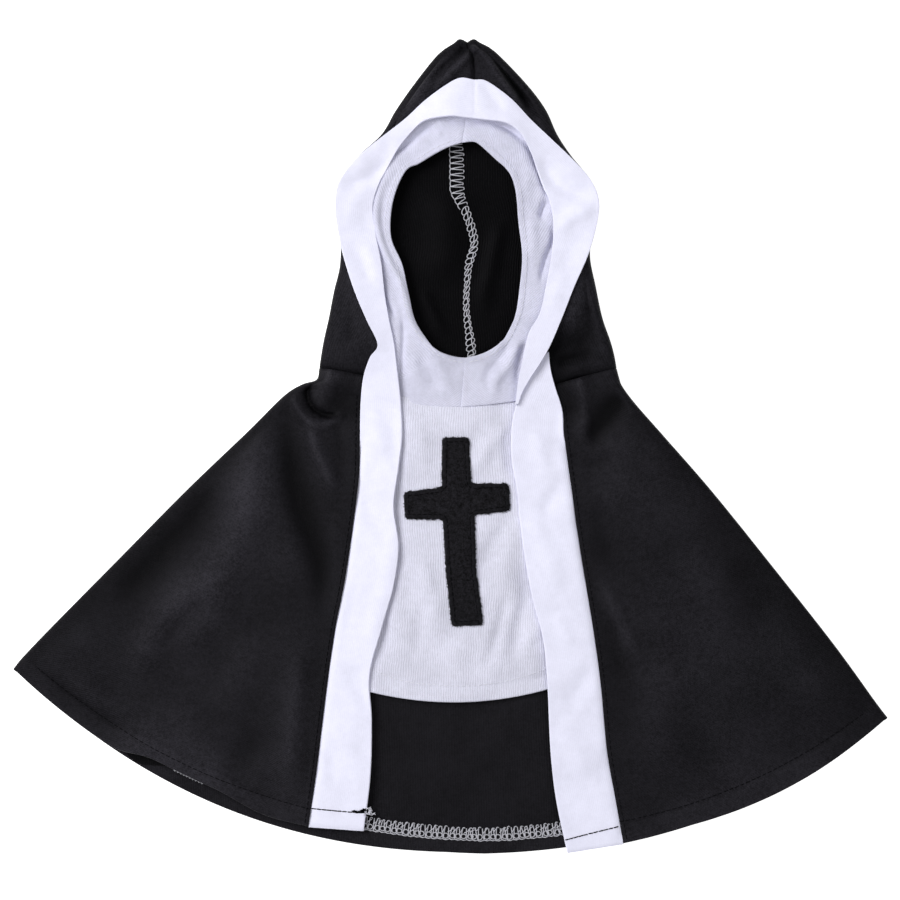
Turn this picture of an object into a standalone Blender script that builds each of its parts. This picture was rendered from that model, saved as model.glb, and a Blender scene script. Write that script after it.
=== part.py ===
"""A pet's nun habit laid flat on its back: hooded cape, white band, coif, bib and cross.

The tables are in millimetres and the model in metres. +X is across the habit, +Y runs from the hem to the
peak of the hood, and +Z points up from the table, which is at z = 0. Each piece is a wall of cloth made from
its middle surface, and each table has one row for a section of the cloth.
"""

import bpy
import numpy as np

MM = 0.001

CLOTH = 1.0  # one layer of jersey or knit
BAND = 2.0  # the white strip is folded double
HEM = 2.0  # the cape's hem is turned in
RIM = 1.8  # the coif's face edge is turned in
CROSS = 1.2  # the applique with its turned edge
SEAM = 0.3  # air between pieces that are sewn together
BLACK_LAP = 0.30  # how far the black edge lies under the band, as a share of the band's width
WHITE_LAP = 0.45  # the same for the coif and the bib, which end further in
COVERED = 9.0  # the black front lies flat this far in, where the band covers it
WHITE_DROP = 2.2  # how far the coif and the bib lie below the band that covers their edges
SLACK = 0.2  # more air where bent cloth comes close to the piece below
BIB_SWELL = 1.2  # how much the bib stands up between the bands
CAPE_SWELL = 1.2  # the same for the cape's fronts, between the band and the side fold
HOOD_SWELL = 0.3  # and for the hood's
SHARP = 50  # degrees between faces from which an edge stays sharp

# The band's sections. Each row: outer x, y, inner x, y, outer z, inner z.
BAND_FRONT_LEFT = (  # from the hem to the neck
    (-70.8, -190.0, -43.2, -192.0, 5.6, 5.6),
    (-67.0, -164.0, -39.8, -164.0, 4.8, 5.0),
    (-63.6, -136.0, -39.2, -136.0, 4.3, 4.8),
    (-60.8, -114.0, -40.2, -114.0, 4.3, 5.2),
    (-57.2, -90.0, -34.0, -90.0, 4.4, 5.2),
    (-53.2, -70.0, -28.4, -70.0, 4.4, 5.0),
    (-50.0, -50.0, -25.8, -50.0, 4.4, 5.0),
    (-47.3, -30.0, -28.2, -30.0, 4.4, 5.4),
    (-45.4, -12.0, -25.9, -12.0, 4.5, 5.4),
    (-45.2, 5.0, -24.0, 5.0, 4.7, 5.4),
    (-44.8, 22.0, -24.7, 22.0, 5.2, 6.0),
)
BAND_HOOD_LEFT = (  # from the neck to the top of the opening
    (-43.4, 34.5, -26.0, 34.5, 6.4, 7.4),
    (-40.2, 44.0, -27.2, 44.0, 7.6, 8.6),
    (-36.3, 50.5, -28.2, 51.5, 8.6, 9.6),
    (-41.7, 62.5, -30.7, 63.5, 9.0, 10.2),
    (-47.4, 76.0, -32.8, 76.5, 9.2, 10.6),
    (-52.0, 90.0, -34.4, 91.0, 9.4, 11.0),
    (-55.6, 104.0, -36.9, 104.0, 9.5, 11.3),
    (-57.4, 118.5, -38.7, 119.0, 9.5, 11.5),
    (-55.6, 131.0, -36.0, 129.0, 9.5, 11.5),
    (-46.8, 143.0, -31.8, 137.0, 9.4, 11.5),
    (-33.8, 154.0, -26.2, 147.5, 9.2, 11.5),
    (-22.2, 163.0, -19.5, 156.0, 9.0, 11.6),
    (-11.2, 173.0, -12.5, 161.5, 8.8, 11.8),
    (3.0, 183.4, -1.0, 163.6, 8.6, 12.0),
    (11.5, 183.8, 6.5, 163.1, 8.6, 12.0),
)
BAND_HOOD_RIGHT = (  # on from the top, down to the neck
    (18.2, 182.6, 16.0, 162.0, 8.6, 12.0),
    (29.7, 173.0, 27.7, 160.3, 8.8, 11.8),
    (39.2, 163.0, 35.0, 155.0, 9.0, 11.6),
    (49.7, 153.0, 39.8, 146.0, 9.2, 11.5),
    (60.2, 143.0, 42.8, 137.5, 9.4, 11.5),
    (69.3, 133.0, 46.3, 128.0, 9.5, 11.5),
    (73.7, 123.0, 49.2, 121.5, 9.5, 11.5),
    (73.2, 112.0, 51.0, 111.5, 9.5, 11.3),
    (68.8, 96.0, 50.5, 97.5, 9.4, 11.2),
    (61.5, 79.0, 47.5, 80.0, 9.2, 10.8),
    (55.2, 63.0, 44.3, 66.0, 9.0, 10.5),
    (49.4, 49.5, 38.8, 56.0, 9.2, 10.2),
)
BAND_TWIST = (  # the tapered end that lies over the right front stretch
    (44.2, 40.5, 35.8, 43.0, 9.0, 9.4),
    (39.2, 33.0, 33.8, 33.0, 8.4, 8.6),
    (35.4, 26.0, 32.8, 26.0, 8.0, 8.0),
    (33.6, 20.8, 32.2, 20.4, 7.8, 7.8),
)
BAND_FRONT_RIGHT = (  # from the hem to the neck, where it runs under the twist
    (86.2, -198.5, 58.2, -203.0, 5.6, 5.6),
    (82.2, -176.0, 52.7, -177.0, 4.8, 5.0),
    (78.0, -152.0, 49.8, -152.0, 4.3, 4.8),
    (75.0, -120.0, 48.3, -120.0, 4.3, 5.2),
    (72.0, -97.0, 46.2, -97.0, 4.4, 5.2),
    (68.8, -77.0, 41.0, -77.0, 4.4, 5.0),
    (65.5, -57.0, 37.2, -57.0, 4.4, 5.0),
    (62.4, -37.0, 34.5, -37.0, 4.4, 5.2),
    (60.4, -22.0, 33.0, -22.0, 4.4, 5.2),
    (58.4, -8.0, 30.6, -8.0, 4.5, 5.2),
    (56.6, 6.0, 30.2, 6.0, 4.7, 5.2),
    (55.8, 18.0, 32.0, 18.0, 5.0, 5.4),
    (52.2, 29.5, 37.0, 30.0, 5.2, 5.6),
    (49.9, 38.5, 40.5, 38.0, 5.6, 5.9),
    (49.0, 47.0, 45.6, 45.6, 5.9, 5.9),
)

# Where the black edge passes under both the twist and the right front stretch.
BLACK_UNDER_TWIST = (49.4, 49.5, 38.8, 56.0, 5.9, 5.9)

# The hood's folds and the seam down its back, a row for each row of the band from the neck to the top.
# Each row: left fold x, y, seam x, y, right fold x, y, height of the cloth over the folds.
HOOD = (
    (-65.5, 38.9, 9.2, 36.0, 83.0, 38.7, 5.4),
    (-64.6, 45.0, 9.5, 44.0, 81.6, 46.0, 6.0),
    (-63.2, 53.0, 9.6, 52.0, 79.6, 53.0, 6.4),
    (-60.7, 64.0, 8.3, 63.0, 75.8, 64.0, 6.8),
    (-58.2, 77.0, 7.4, 76.0, 72.6, 79.0, 7.2),
    (-55.2, 90.0, 8.0, 90.0, 69.6, 96.0, 7.3),
    (-55.0, 104.0, 9.6, 104.0, 72.6, 112.0, 7.4),
    (-56.8, 118.5, 7.2, 117.0, 73.0, 123.5, 7.4),
    (-55.0, 131.5, 4.6, 128.0, 68.8, 134.0, 7.4),
    (-46.5, 144.0, 4.4, 138.0, 60.0, 145.0, 7.2),
    (-34.4, 155.5, 4.6, 147.0, 53.2, 155.5, 6.8),
    (-27.3, 167.5, 5.0, 157.0, 47.4, 168.0, 6.4),
    (-17.5, 181.5, 5.8, 170.0, 37.6, 181.0, 6.0),
    (-6.2, 195.5, 6.8, 184.0, 22.3, 196.8, 5.6),
    (6.9, 203.4, 7.6, 196.0, 8.7, 203.4, 5.2),
)

# The cape's sections from the neck to the hem. Each row: y of the left front edge, left fold x, y,
# middle of the back x, y, right fold x, y, y of the right front edge, height over the folds,
# bow of the fronts as a share of their width, thickness.
CAPE = (
    (33.9, -65.5, 38.5, 9.2, 35.6, 83.0, 38.3, 28.9, 5.4, 0.00, CLOTH),
    (26.0, -69.0, 31.2, 9.0, 28.0, 85.0, 30.6, 23.0, 4.8, 0.02, CLOTH),
    (16.0, -83.8, 24.4, 9.0, 12.0, 92.7, 20.5, 13.0, 4.4, 0.04, CLOTH),
    (-8.0, -101.2, 7.2, 10.0, -22.0, 106.4, 5.0, -9.0, 4.2, 0.06, CLOTH),
    (-45.0, -132.0, -22.3, 12.0, -66.0, 131.1, -23.3, -44.0, 4.0, 0.06, CLOTH),
    (-95.0, -168.2, -59.0, 14.0, -120.0, 161.7, -61.3, -93.0, 3.8, 0.06, CLOTH),
    (-145.0, -197.4, -88.5, 15.5, -167.0, 191.4, -99.0, -145.0, 3.7, 0.06, CLOTH),
    (-180.0, -212.8, -104.6, 16.5, -193.0, 212.4, -128.0, -186.0, 4.0, 0.06, HEM),
    (-189.5, -218.2, -111.3, 17.0, -203.7, 218.2, -135.6, -198.0, 4.2, 0.06, HEM),
)

# The coif's face edge, a row for each row of the band from the pinch to the top. Each row: x, y, z.
FACE_LEFT = (
    (-11.0, 51.8, 6.6), (-17.8, 62.5, 6.9), (-21.0, 76.0, 7.2), (-24.0, 90.5, 7.5),
    (-29.4, 103.5, 7.8), (-29.3, 117.5, 8.0), (-26.2, 129.3, 8.0), (-21.5, 137.6, 8.0),
    (-16.0, 140.3, 8.0), (-10.5, 143.6, 8.2), (-6.0, 146.2, 8.5), (-1.0, 148.6, 8.8),
    (5.6, 150.8, 9.0),
)  # fmt: skip
FACE_RIGHT = (
    (27.4, 54.6, 6.6), (32.2, 65.0, 6.9), (34.5, 80.0, 7.2), (35.6, 95.0, 7.5),
    (33.8, 111.0, 7.8), (33.0, 121.5, 8.0), (32.0, 128.5, 8.0), (30.0, 134.5, 8.0),
    (27.0, 138.6, 8.0), (22.7, 142.3, 8.2), (18.2, 146.5, 8.5), (12.4, 151.0, 8.8),
    (5.9, 150.8, 9.0),
)  # fmt: skip

# The coif below the pinch, from the chin outward. Each row: outer x, y, z, face edge x, y, z.
CHIN_LEFT = (
    (5.6, 19.8, 4.4, 7.6, 44.0, 6.0),
    (-15.2, 21.3, 4.2, 3.0, 44.4, 6.1),
    (-37.5, 21.8, 3.0, -2.0, 45.7, 6.2),
    (-36.0, 36.5, 4.6, -6.6, 47.8, 6.4),
)
CHIN_RIGHT = (
    (5.9, 19.8, 4.4, 7.9, 44.0, 6.0),
    (24.0, 20.2, 4.2, 13.0, 45.2, 6.1),
    (42.0, 20.6, 2.9, 18.0, 47.0, 6.2),
    (41.0, 36.0, 3.3, 22.8, 49.9, 6.4),
    (40.6, 45.0, 4.2, 25.0, 51.8, 6.5),
)

# The bib's sections from the chin seam to its hem. Each row: left y, right y, dip of the middle.
BIB = ((21.0, 19.7, 1.2), (-10.0, -10.0, 2.5), (-50.0, -50.0, 4.5), (-90.0, -89.0, 7.0), (-119.5, -117.0, 9.6))

# The cross from its top to its foot. Each row: x, y at the left arm's end, the bar's left side, the bar's
# right side and the right arm's end. The bar leans towards its foot.
CROSS_ROWS = (
    (-23.3, 4.6, -4.2, 4.6, 8.8, 4.6, 29.7, 4.6),
    (-23.3, -23.0, -4.2, -21.0, 10.3, -18.6, 29.7, -19.0),
    (-23.3, -36.0, -4.2, -36.5, 12.8, -34.5, 29.7, -32.5),
    (-23.3, -90.0, 0.8, -90.0, 16.3, -89.5, 29.7, -89.5),
)
CROSS_STEPS = (4, 2, 8)  # steps between those rows


def through(rows, places):
    """Reads a table between its rows, as smooth curves through them. Places are counted in rows."""
    rows = np.array(rows, float)
    start = np.clip(places.astype(int), 0, len(rows) - 2)
    t = (places - start)[:, None]
    slope = np.gradient(rows, axis=0)
    ahead = t * t * (3 - 2 * t)
    return (
        rows[start] * (1 - ahead)
        + rows[start + 1] * ahead
        + slope[start] * t * (1 - t) ** 2
        - slope[start + 1] * t * t * (1 - t)
    )


def sampled(rows, per_row):
    return through(rows, np.linspace(0, len(rows) - 1, (len(rows) - 1) * per_row + 1))


def edge_at(band, y, lap):
    """A point of the band's section at height y, at a share of its width from the outer edge, with its z."""
    rows = sampled(band, 8)
    outer, inner = rows[:, (0, 1, 4)], rows[:, (2, 3, 5)]
    along = outer + (inner - outer) * lap
    return np.array([np.interp(y, along[:, 1], along[:, k]) for k in range(3)])


def bowed(a, b, depth, shares):
    """Points of a shallow arc in plan from a to b, which bows by depth towards -Y."""
    chord = b - a
    down = np.array([chord[1], -chord[0]]) / np.hypot(*chord)
    down *= -1 if down[1] > 0 else 1
    return a + np.outer(shares, chord) + np.outer(4 * shares * (1 - shares) * depth, down)


def half_depth(a, middle, b):
    """How far each half of the arc through three points bows from its own chord: (a's half, b's half)."""
    first, second, whole = middle - a, b - middle, b - a
    lengths = [np.hypot(*side) for side in (first, second, whole)]
    bend = 2 * (first[0] * second[1] - first[1] * second[0]) / np.prod(lengths)
    return bend * lengths[0] ** 2 / 8, bend * lengths[1] ** 2 / 8


def folded_section(front_l, fold_l, middle, fold_r, front_r, top, thick, bow, swell, steps):
    """One section of cloth that wraps round, as two halves, each from its front edge to the middle."""
    base = thick / 2
    radius = (top - base) / 2
    turns, outs = [], []
    for front, fold in ((front_l, fold_l), (front_r, fold_r)):
        out = fold - (front[:2] + middle) / 2
        out /= np.hypot(*out)
        outs.append(out)
        turns.append(fold - out * (radius + thick / 2))
    depths = half_depth(turns[0], middle, turns[1])
    halves = []
    for front, turn, out, depth in zip((front_l, front_r), turns, outs, depths):
        width = np.hypot(*(turn - front[:2]))
        covered = min(COVERED / width, 0.5)
        s = np.concatenate([[0], np.linspace(covered, 1, steps[0])[:-1]])
        plan = bowed(front[:2], turn, bow * width, s)
        free = np.maximum(s - covered, 0) / (1 - covered)
        rise = front[2] + (top - front[2]) * free * free * (3 - 2 * free) + swell * np.sin(np.pi * free)
        points = [np.column_stack([plan, rise])]
        angle = np.linspace(np.pi / 2, -np.pi / 2, steps[1] + 1)
        plan = turn + np.outer(np.cos(angle) * radius, out)
        points.append(np.column_stack([plan, base + radius + radius * np.sin(angle)]))
        s = np.linspace(0, 1, steps[2] + 1)[1:]
        plan = bowed(turn, middle, depth, s)
        points.append(np.column_stack([plan, np.full(len(s), base)]))
        halves.append(np.concatenate(points))
    return halves


def normals_of(grid):
    down, across = np.gradient(grid, axis=0), np.gradient(grid, axis=1)
    normal = np.cross(down, across)
    return normal / np.maximum(np.linalg.norm(normal, axis=2, keepdims=True), 1e-9)


def wall(name, middle, thick, finish, keep=None):
    """A closed wall of cloth: the middle surface moved out and in by half its thickness, and its rim."""
    rows, columns = middle.shape[:2]
    offset = normals_of(middle) * np.broadcast_to(thick, (rows, columns))[:, :, None] / 2
    points = np.concatenate([(middle + offset).reshape(-1, 3), (middle - offset).reshape(-1, 3)])
    keep = np.ones((rows - 1, columns - 1), bool) if keep is None else keep
    back = rows * columns
    faces = []
    for r, c in zip(*np.nonzero(keep)):
        corners = [(r, c), (r + 1, c), (r + 1, c + 1), (r, c + 1)]
        near = [int(i * columns + j) for i, j in corners]
        faces.append(near)
        faces.append([k + back for k in near[::-1]])
        beside = [(r, c - 1), (r + 1, c), (r, c + 1), (r - 1, c)]
        for side, (i, j) in enumerate(beside):
            inside = 0 <= i < rows - 1 and 0 <= j < columns - 1 and keep[i, j]
            if not inside:
                a, b = near[side], near[(side + 1) % 4]
                faces.append([b, a, a + back, b + back])
    used, index = np.unique(np.concatenate([np.array(f) for f in faces]), return_inverse=True)
    points = points[used] * MM
    index = index.reshape(-1, 4)
    a, b, c, d = (points[index[:, k]] for k in range(4))
    volume = np.einsum("ij,ij->", a, np.cross(b, c)) + np.einsum("ij,ij->", a, np.cross(c, d))
    index = index if volume > 0 else index[:, ::-1]
    mesh = bpy.data.meshes.new(name)
    mesh.from_pydata(points.tolist(), [], index.tolist())
    mesh.shade_smooth()
    mesh.set_sharp_from_angle(angle=np.radians(SHARP))
    mesh.materials.append(finish)
    made = bpy.data.objects.new(name, mesh)
    bpy.context.scene.collection.objects.link(made)
    return made


def cloth(name, colour, roughness):
    material = bpy.data.materials.new(name)
    material.use_nodes = True
    shader = material.node_tree.nodes["Principled BSDF"]
    shader.inputs["Base Color"].default_value = (*colour, 1)
    shader.inputs["Roughness"].default_value = roughness
    shader.inputs["Metallic"].default_value = 0
    return material


def make_band(name, rows, finish, per_row, across=3):
    rows = sampled(rows, per_row)
    outer, inner = rows[:, None, (0, 1, 4)], rows[:, None, (2, 3, 5)]
    share = np.linspace(0, 1, across + 1)[None, :, None]
    wall(name, outer + (inner - outer) * share, BAND, finish)


def hood_front(rows):
    """The black hood's front edge, under the band, from the band's own sections."""
    rows = np.array(rows)
    outer, inner = rows[:, (0, 1, 4)], rows[:, (2, 3, 5)]
    front = outer + (inner - outer) * BLACK_LAP
    front[:, 2] = outer[:, 2] - BAND / 2 - SEAM - CLOTH / 2
    return front


def make_hood(black):
    front_l = sampled(hood_front(BAND_HOOD_LEFT), 2)
    right_rows = BAND_FRONT_RIGHT[-3:-1] + (BLACK_UNDER_TWIST,) + BAND_HOOD_RIGHT[-2::-1]
    front_r = sampled(hood_front(right_rows + BAND_HOOD_LEFT[-1:]), 2)
    rows = sampled(HOOD, 2)
    left, right = [], []
    for f_l, f_r, row in zip(front_l, front_r, rows):
        halves = folded_section(
            f_l, row[0:2], row[2:4], row[4:6], f_r, row[6], CLOTH, 0.0, HOOD_SWELL, (3, 5, 5)
        )
        left.append(halves[0])
        right.append(halves[1])
    for name, half, side in (("hood_left", left, -1), ("hood_right", right, 1)):
        half = np.array(half)
        half[:, -1, 0] += side * SEAM / 2
        half[-1, :, 0] += side * SEAM / 2
        wall(name, half, CLOTH, black)


def make_cape(black):
    sections, thick = [], []
    for row in sampled(CAPE, 2):
        y_l, y_r, top, bow, thickness = row[0], row[7], row[8], row[9], row[10]
        front_l = edge_at(FRONT_LEFT_WHOLE, y_l, BLACK_LAP)
        front_r = edge_at(BAND_FRONT_RIGHT, y_r, BLACK_LAP)
        for front in (front_l, front_r):
            front[2] -= BAND / 2 + SEAM + thickness / 2 + SLACK
        left, right = folded_section(
            front_l, row[1:3], row[3:5], row[5:7], front_r, top, thickness, bow, CAPE_SWELL, (6, 5, 7)
        )
        sections.append(np.concatenate([left, right[-2::-1]]))
        thick.append(np.full(len(sections[-1]), thickness))
    wall("cape", np.array(sections), np.array(thick), black)


def make_coif(name, band_rows, face_rows, chin_rows, knit, side):
    """Half of the coif, from the chin seam round to the top seam, each section from outside to the face."""
    band, face = np.array(band_rows), np.array(face_rows)
    outer = band[:, (0, 1, 4)] + (band[:, (2, 3, 5)] - band[:, (0, 1, 4)]) * WHITE_LAP
    outer[:, 2] -= WHITE_DROP
    rows = np.concatenate([np.array(chin_rows), np.column_stack([outer, face])])
    rows = sampled(rows, 1)
    share = np.array([0, 0.25, 0.5, 0.75, 0.93, 1.0])[None, :, None]
    middle = rows[:, None, :3] + (rows[:, None, 3:] - rows[:, None, :3]) * share
    middle[0, :, 0] += side * SEAM / 2
    middle[-1, :, 0] += side * SEAM / 2
    thick = np.array([CLOTH, CLOTH, CLOTH, CLOTH, CLOTH, RIM])[None, :]
    wall(name, middle, np.repeat(thick, len(rows), axis=0), knit)


def bib_side(band, y):
    point = edge_at(band, y, WHITE_LAP)
    point[2] -= WHITE_DROP
    return point


def bib_height(left, right, share):
    """The bib's height between its two sides, at a share of the way across."""
    return left[2] + (right[2] - left[2]) * share + BIB_SWELL * np.sin(np.pi * share)


def make_bib(knit):
    sections = []
    share = np.linspace(0, 1, 13)
    for y_l, y_r, dip in sampled(BIB, 3):
        left, right = bib_side(FRONT_LEFT_WHOLE, y_l), bib_side(BAND_FRONT_RIGHT, y_r)
        plan = bowed(left[:2], right[:2], dip, share)
        sections.append(np.column_stack([plan, bib_height(left, right, share)]))
    wall("bib", np.array(sections), CLOTH, knit)


def make_cross(black):
    """The cross is made from the bib's own height, moved out by the two half walls and the gap."""
    places = [0.0]
    for row, steps in enumerate(CROSS_STEPS):
        places += [row + (k + 1) / steps for k in range(steps)]
    rows = np.array(CROSS_ROWS)
    grid = np.column_stack([np.interp(places, range(len(rows)), rows[:, k]) for k in range(8)])
    grid = grid.reshape(-1, 4, 2)
    plan = np.stack([grid[:, 0], (grid[:, 0] + grid[:, 1]) / 2, grid[:, 1], grid[:, 1:3].mean(axis=1),
                     grid[:, 2], grid[:, 2:].mean(axis=1), grid[:, 3]], axis=1)  # fmt: skip
    height = np.empty(plan.shape[:2])
    for at, (x, y) in zip(np.ndindex(*height.shape), plan.reshape(-1, 2)):
        left, right = bib_side(FRONT_LEFT_WHOLE, y), bib_side(BAND_FRONT_RIGHT, y)
        height[at] = bib_height(left, right, (x - left[0]) / (right[0] - left[0]))
    lift = CLOTH / 2 + SEAM + CROSS / 2 + SLACK
    keep = np.zeros((len(places) - 1, 6), bool)
    keep[:, 2:4] = True
    keep[CROSS_STEPS[0] : CROSS_STEPS[0] + CROSS_STEPS[1], :] = True
    wall("cross", np.dstack([plan, height + lift]), CROSS, black, keep)


FRONT_LEFT_WHOLE = BAND_FRONT_LEFT + BAND_HOOD_LEFT[:3]


def main():
    for old in list(bpy.data.objects):
        bpy.data.objects.remove(old)
    black = cloth("black_jersey", (0.010, 0.010, 0.012), 0.85)
    white = cloth("white_band", (0.80, 0.80, 0.90), 0.8)
    knit = cloth("white_knit", (0.78, 0.78, 0.87), 0.9)
    make_cape(black)
    make_hood(black)
    make_band("band", BAND_FRONT_LEFT + BAND_HOOD_LEFT + BAND_HOOD_RIGHT + BAND_TWIST, white, 2)
    make_band("band_right", BAND_FRONT_RIGHT, white, 2)
    make_coif("coif_left", BAND_HOOD_LEFT[2:], FACE_LEFT, CHIN_LEFT, knit, -1)
    make_coif("coif_right", BAND_HOOD_RIGHT[::-1] + BAND_HOOD_LEFT[-1:], FACE_RIGHT, CHIN_RIGHT, knit, 1)
    make_bib(knit)
    make_cross(black)


main()
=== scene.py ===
"""A pet's nun habit laid flat on its back: hooded cape, white band, coif, bib and cross.

The tables are in millimetres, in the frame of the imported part: +X across the habit, +Y from the hem to the
peak of the hood, +Z up from the table. Each piece of cloth is a thin shell on its middle surface, with its
folds laid over it, and the thread is made of small joined tubes.
"""

import bpy
import numpy as np
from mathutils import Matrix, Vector
from mathutils.bvhtree import BVHTree


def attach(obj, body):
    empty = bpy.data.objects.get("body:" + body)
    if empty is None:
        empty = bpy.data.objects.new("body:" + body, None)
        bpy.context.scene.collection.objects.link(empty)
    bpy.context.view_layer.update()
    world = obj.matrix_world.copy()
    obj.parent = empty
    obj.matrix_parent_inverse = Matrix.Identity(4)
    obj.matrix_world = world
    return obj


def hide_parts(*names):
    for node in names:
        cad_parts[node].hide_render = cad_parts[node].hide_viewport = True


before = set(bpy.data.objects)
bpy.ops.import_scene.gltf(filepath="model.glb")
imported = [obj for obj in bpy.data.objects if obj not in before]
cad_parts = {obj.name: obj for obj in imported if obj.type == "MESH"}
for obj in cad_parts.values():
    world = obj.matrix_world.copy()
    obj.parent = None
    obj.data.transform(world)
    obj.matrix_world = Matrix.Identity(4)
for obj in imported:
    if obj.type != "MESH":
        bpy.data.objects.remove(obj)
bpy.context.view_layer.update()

MM = 0.001

# Thicknesses
JERSEY = 0.9  # one layer of the black jersey
STRIP = 1.5  # the white strip, folded double
KNIT = 0.9  # one layer of the white rib knit
HEM = 1.9  # the cape's turned hem
RIM = 1.7  # the coif's turned face edge
PATCH = 1.1  # the cross with its turned edge

# How the pieces lie on each other
BLACK_LAP = 0.30  # how far the hood's edge lies under the strip, as a share of the strip's width
WHITE_LAP = 0.45  # the same for the coif and the bib
WHITE_DROP = 2.2  # how far the coif lies below the strip that covers its edge
BIB_DROP = 1.75  # how far the bib lies below it
BLACK_DROP = 1.75  # how far the cape's front edge lies below it at the neck
BLACK_RISE = 0.3  # and how far it lies above the strip's sunk outer edge on the fronts
HOOD_DROP = 1.8  # how far the hood's front edge lies below the strip
BIB_SWELL = 1.2  # how much the bib stands up between the strips
TUCK = 2.0  # how far the strip runs on under the black front's folded edge
DIP = 1.5  # how far the strip's outer edge drops to pass under it
DIP_REACH = 5.0  # the width over which it drops
CAPE_LEAST = 2.3  # the lowest that a hollow may reach on the cape's fronts, clear of the back
COIF_LEAST = 2.4  # the same on the coif
BIB_LEAST = 1.9  # and on the bib
FRONT_PUFF = 1.2  # how much the fronts stand up between the strip and the side folds

# Hem and thread
HEM_LINE = 8.05  # where the hem is stitched, counted in rows of the cape's table
HEM_WIDTH = 9.4  # how far its stitches are from the edge
HEM_GROOVE = 0.45  # how deep they pull the cloth in
HEM_ROW = 6  # width of the overlock row on the hem
STITCH = 2.9  # one overlock stitch along the seam
LOOPED = 4.6  # an overlocked seam narrower than this lies in loose loops
THREAD = 0.23  # radius of the woolly overlock thread
THICK_THREAD = 0.27  # radius of the thread at the ends of the strip
FINE_THREAD = 0.17  # radius of the sewing thread
FIBRE = 0.1  # radius of a frayed fibre

# The view from straight above, in metres
VIEW_WIDTH = 0.45
VIEW_CENTRE = (-0.00025, -0.002)

# The black jersey's colours: nearly black and grey. On the jersey they are painted shade in the hollows and
# painted light on the crests of the folds; on the felt they are the dark and the grey of its wool.
NAP_BLACK_AND_PAINTED_SHADE = (0.0008, 0.0008, 0.0010)
NAP_GREY_AND_PAINTED_LIGHT = (0.0190, 0.0180, 0.0225)
# On the black jersey, cloth below this height has its painted shade lifted by the finish's inner share.
ON_TABLE = 2.1  # below this height the cloth is the back, seen from inside

# The strip's sections. Each row: outer x, y, inner x, y, outer z, inner z.
BAND_FRONT_LEFT = (  # from the hem to the neck
    (-70.8, -190, -43.2, -192, 5.6, 5.6),
    (-67, -164, -39.8, -164, 4.8, 5),
    (-63.6, -136, -39.2, -136, 4.3, 4.8),
    (-60.8, -114, -40.2, -114, 4.3, 5.4),
    (-57.2, -90, -34, -90, 4.4, 5.6),
    (-53.2, -70, -28.4, -70, 4.4, 5.5),
    (-50, -50, -25.8, -50, 4.4, 5.5),
    (-47.3, -30, -28.2, -30, 4.4, 5.8),
    (-45.4, -12, -25.9, -12, 4.5, 5.9),
    (-45.2, 5, -24, 5, 4.7, 5.9),
    (-44.8, 22, -24.7, 22, 5.2, 6.2),
)
BAND_HOOD_LEFT = (  # from the neck to the top of the opening
    (-43.4, 34.5, -26, 34.5, 6.4, 6.8),
    (-40.2, 44, -27.2, 44, 7.8, 7.6),
    (-36.3, 50.5, -28.2, 51.5, 9, 8),
    (-41.7, 62.5, -30.7, 63.5, 9.8, 8.4),
    (-47.4, 76, -32.8, 76.5, 10.4, 8.8),
    (-52, 90, -34.4, 91, 10.6, 9),
    (-55.6, 104, -36.9, 104, 10.6, 8.1),
    (-57.4, 118.5, -38.7, 119, 10.4, 7.9),
    (-55.6, 131, -36, 129, 10.2, 8.1),
    (-46.8, 143, -31.8, 137, 9.8, 8.7),
    (-33.8, 154, -26.2, 147.5, 9.4, 9.9),
    (-22.2, 163, -19.5, 156, 9.2, 10.8),
    (-11.2, 173, -12.5, 161.5, 9, 11.4),
    (3, 182.6, -1, 163.6, 8.6, 12),
    (11.5, 182.3, 6.5, 163.1, 8.6, 12),
)
BAND_HOOD_RIGHT = (  # on from the top, down to the neck
    (18.4, 181.4, 16, 162, 8.6, 12),
    (29.7, 173, 27.7, 160.3, 8.8, 11.8),
    (39.2, 163, 35, 155, 9.2, 11.6),
    (49.7, 153, 39.8, 146, 9.6, 11.2),
    (60.2, 143, 42.8, 137.5, 10, 10.6),
    (69.3, 133, 46.3, 128, 10.2, 10.2),
    (73.7, 123, 49.2, 121.5, 10.4, 10),
    (73.2, 112, 51, 111.5, 10.6, 9.8),
    (68.8, 96, 50.5, 97.5, 10.6, 9.8),
    (61.5, 79, 47.5, 80, 10.4, 10),
    (55.2, 63, 44.3, 66, 10, 10),
    (49.4, 49.5, 38.8, 56, 9.6, 10),
)
BAND_TWIST = (  # the tapered end that lies over the right front stretch
    (44.2, 40.5, 35.8, 43, 9, 9.4),
    (39.2, 33, 33.8, 33, 8.4, 8.6),
    (35.4, 26, 32.8, 26, 8, 8),
    (33.6, 20.8, 32.2, 20.4, 7.8, 7.8),
)
BAND_FRONT_RIGHT = (  # from the hem to the neck, where it runs under the twist
    (86.2, -198.5, 58.2, -203, 5.6, 5.6),
    (82.2, -176, 52.7, -177, 4.8, 5),
    (78, -152, 49.8, -152, 4.3, 4.8),
    (75, -120, 48.3, -120, 4.3, 5.2),
    (72, -97, 46.2, -97, 4.4, 5.2),
    (68.8, -77, 41, -77, 4.4, 5),
    (65.5, -57, 37.2, -57, 4.4, 5),
    (62.4, -37, 34.5, -37, 4.4, 5.2),
    (60.4, -22, 33, -22, 4.4, 5.2),
    (58.4, -8, 30.6, -8, 4.5, 5.2),
    (56.6, 6, 30.2, 6, 4.7, 5.2),
    (55.8, 18, 32, 18, 5, 5.4),
    (52.2, 29.5, 37, 30, 5.2, 5.6),
    (49.9, 38.5, 40.5, 38, 5.6, 5.9),
    (49, 47, 45.6, 45.6, 5.9, 5.9),
)
FRONT_LEFT_WHOLE = BAND_FRONT_LEFT + BAND_HOOD_LEFT[:3]

# Where the black edge passes under both the twist and the right front stretch.
BLACK_UNDER_TWIST = (49.4, 49.5, 38.8, 56, 5.9, 5.9)

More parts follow.
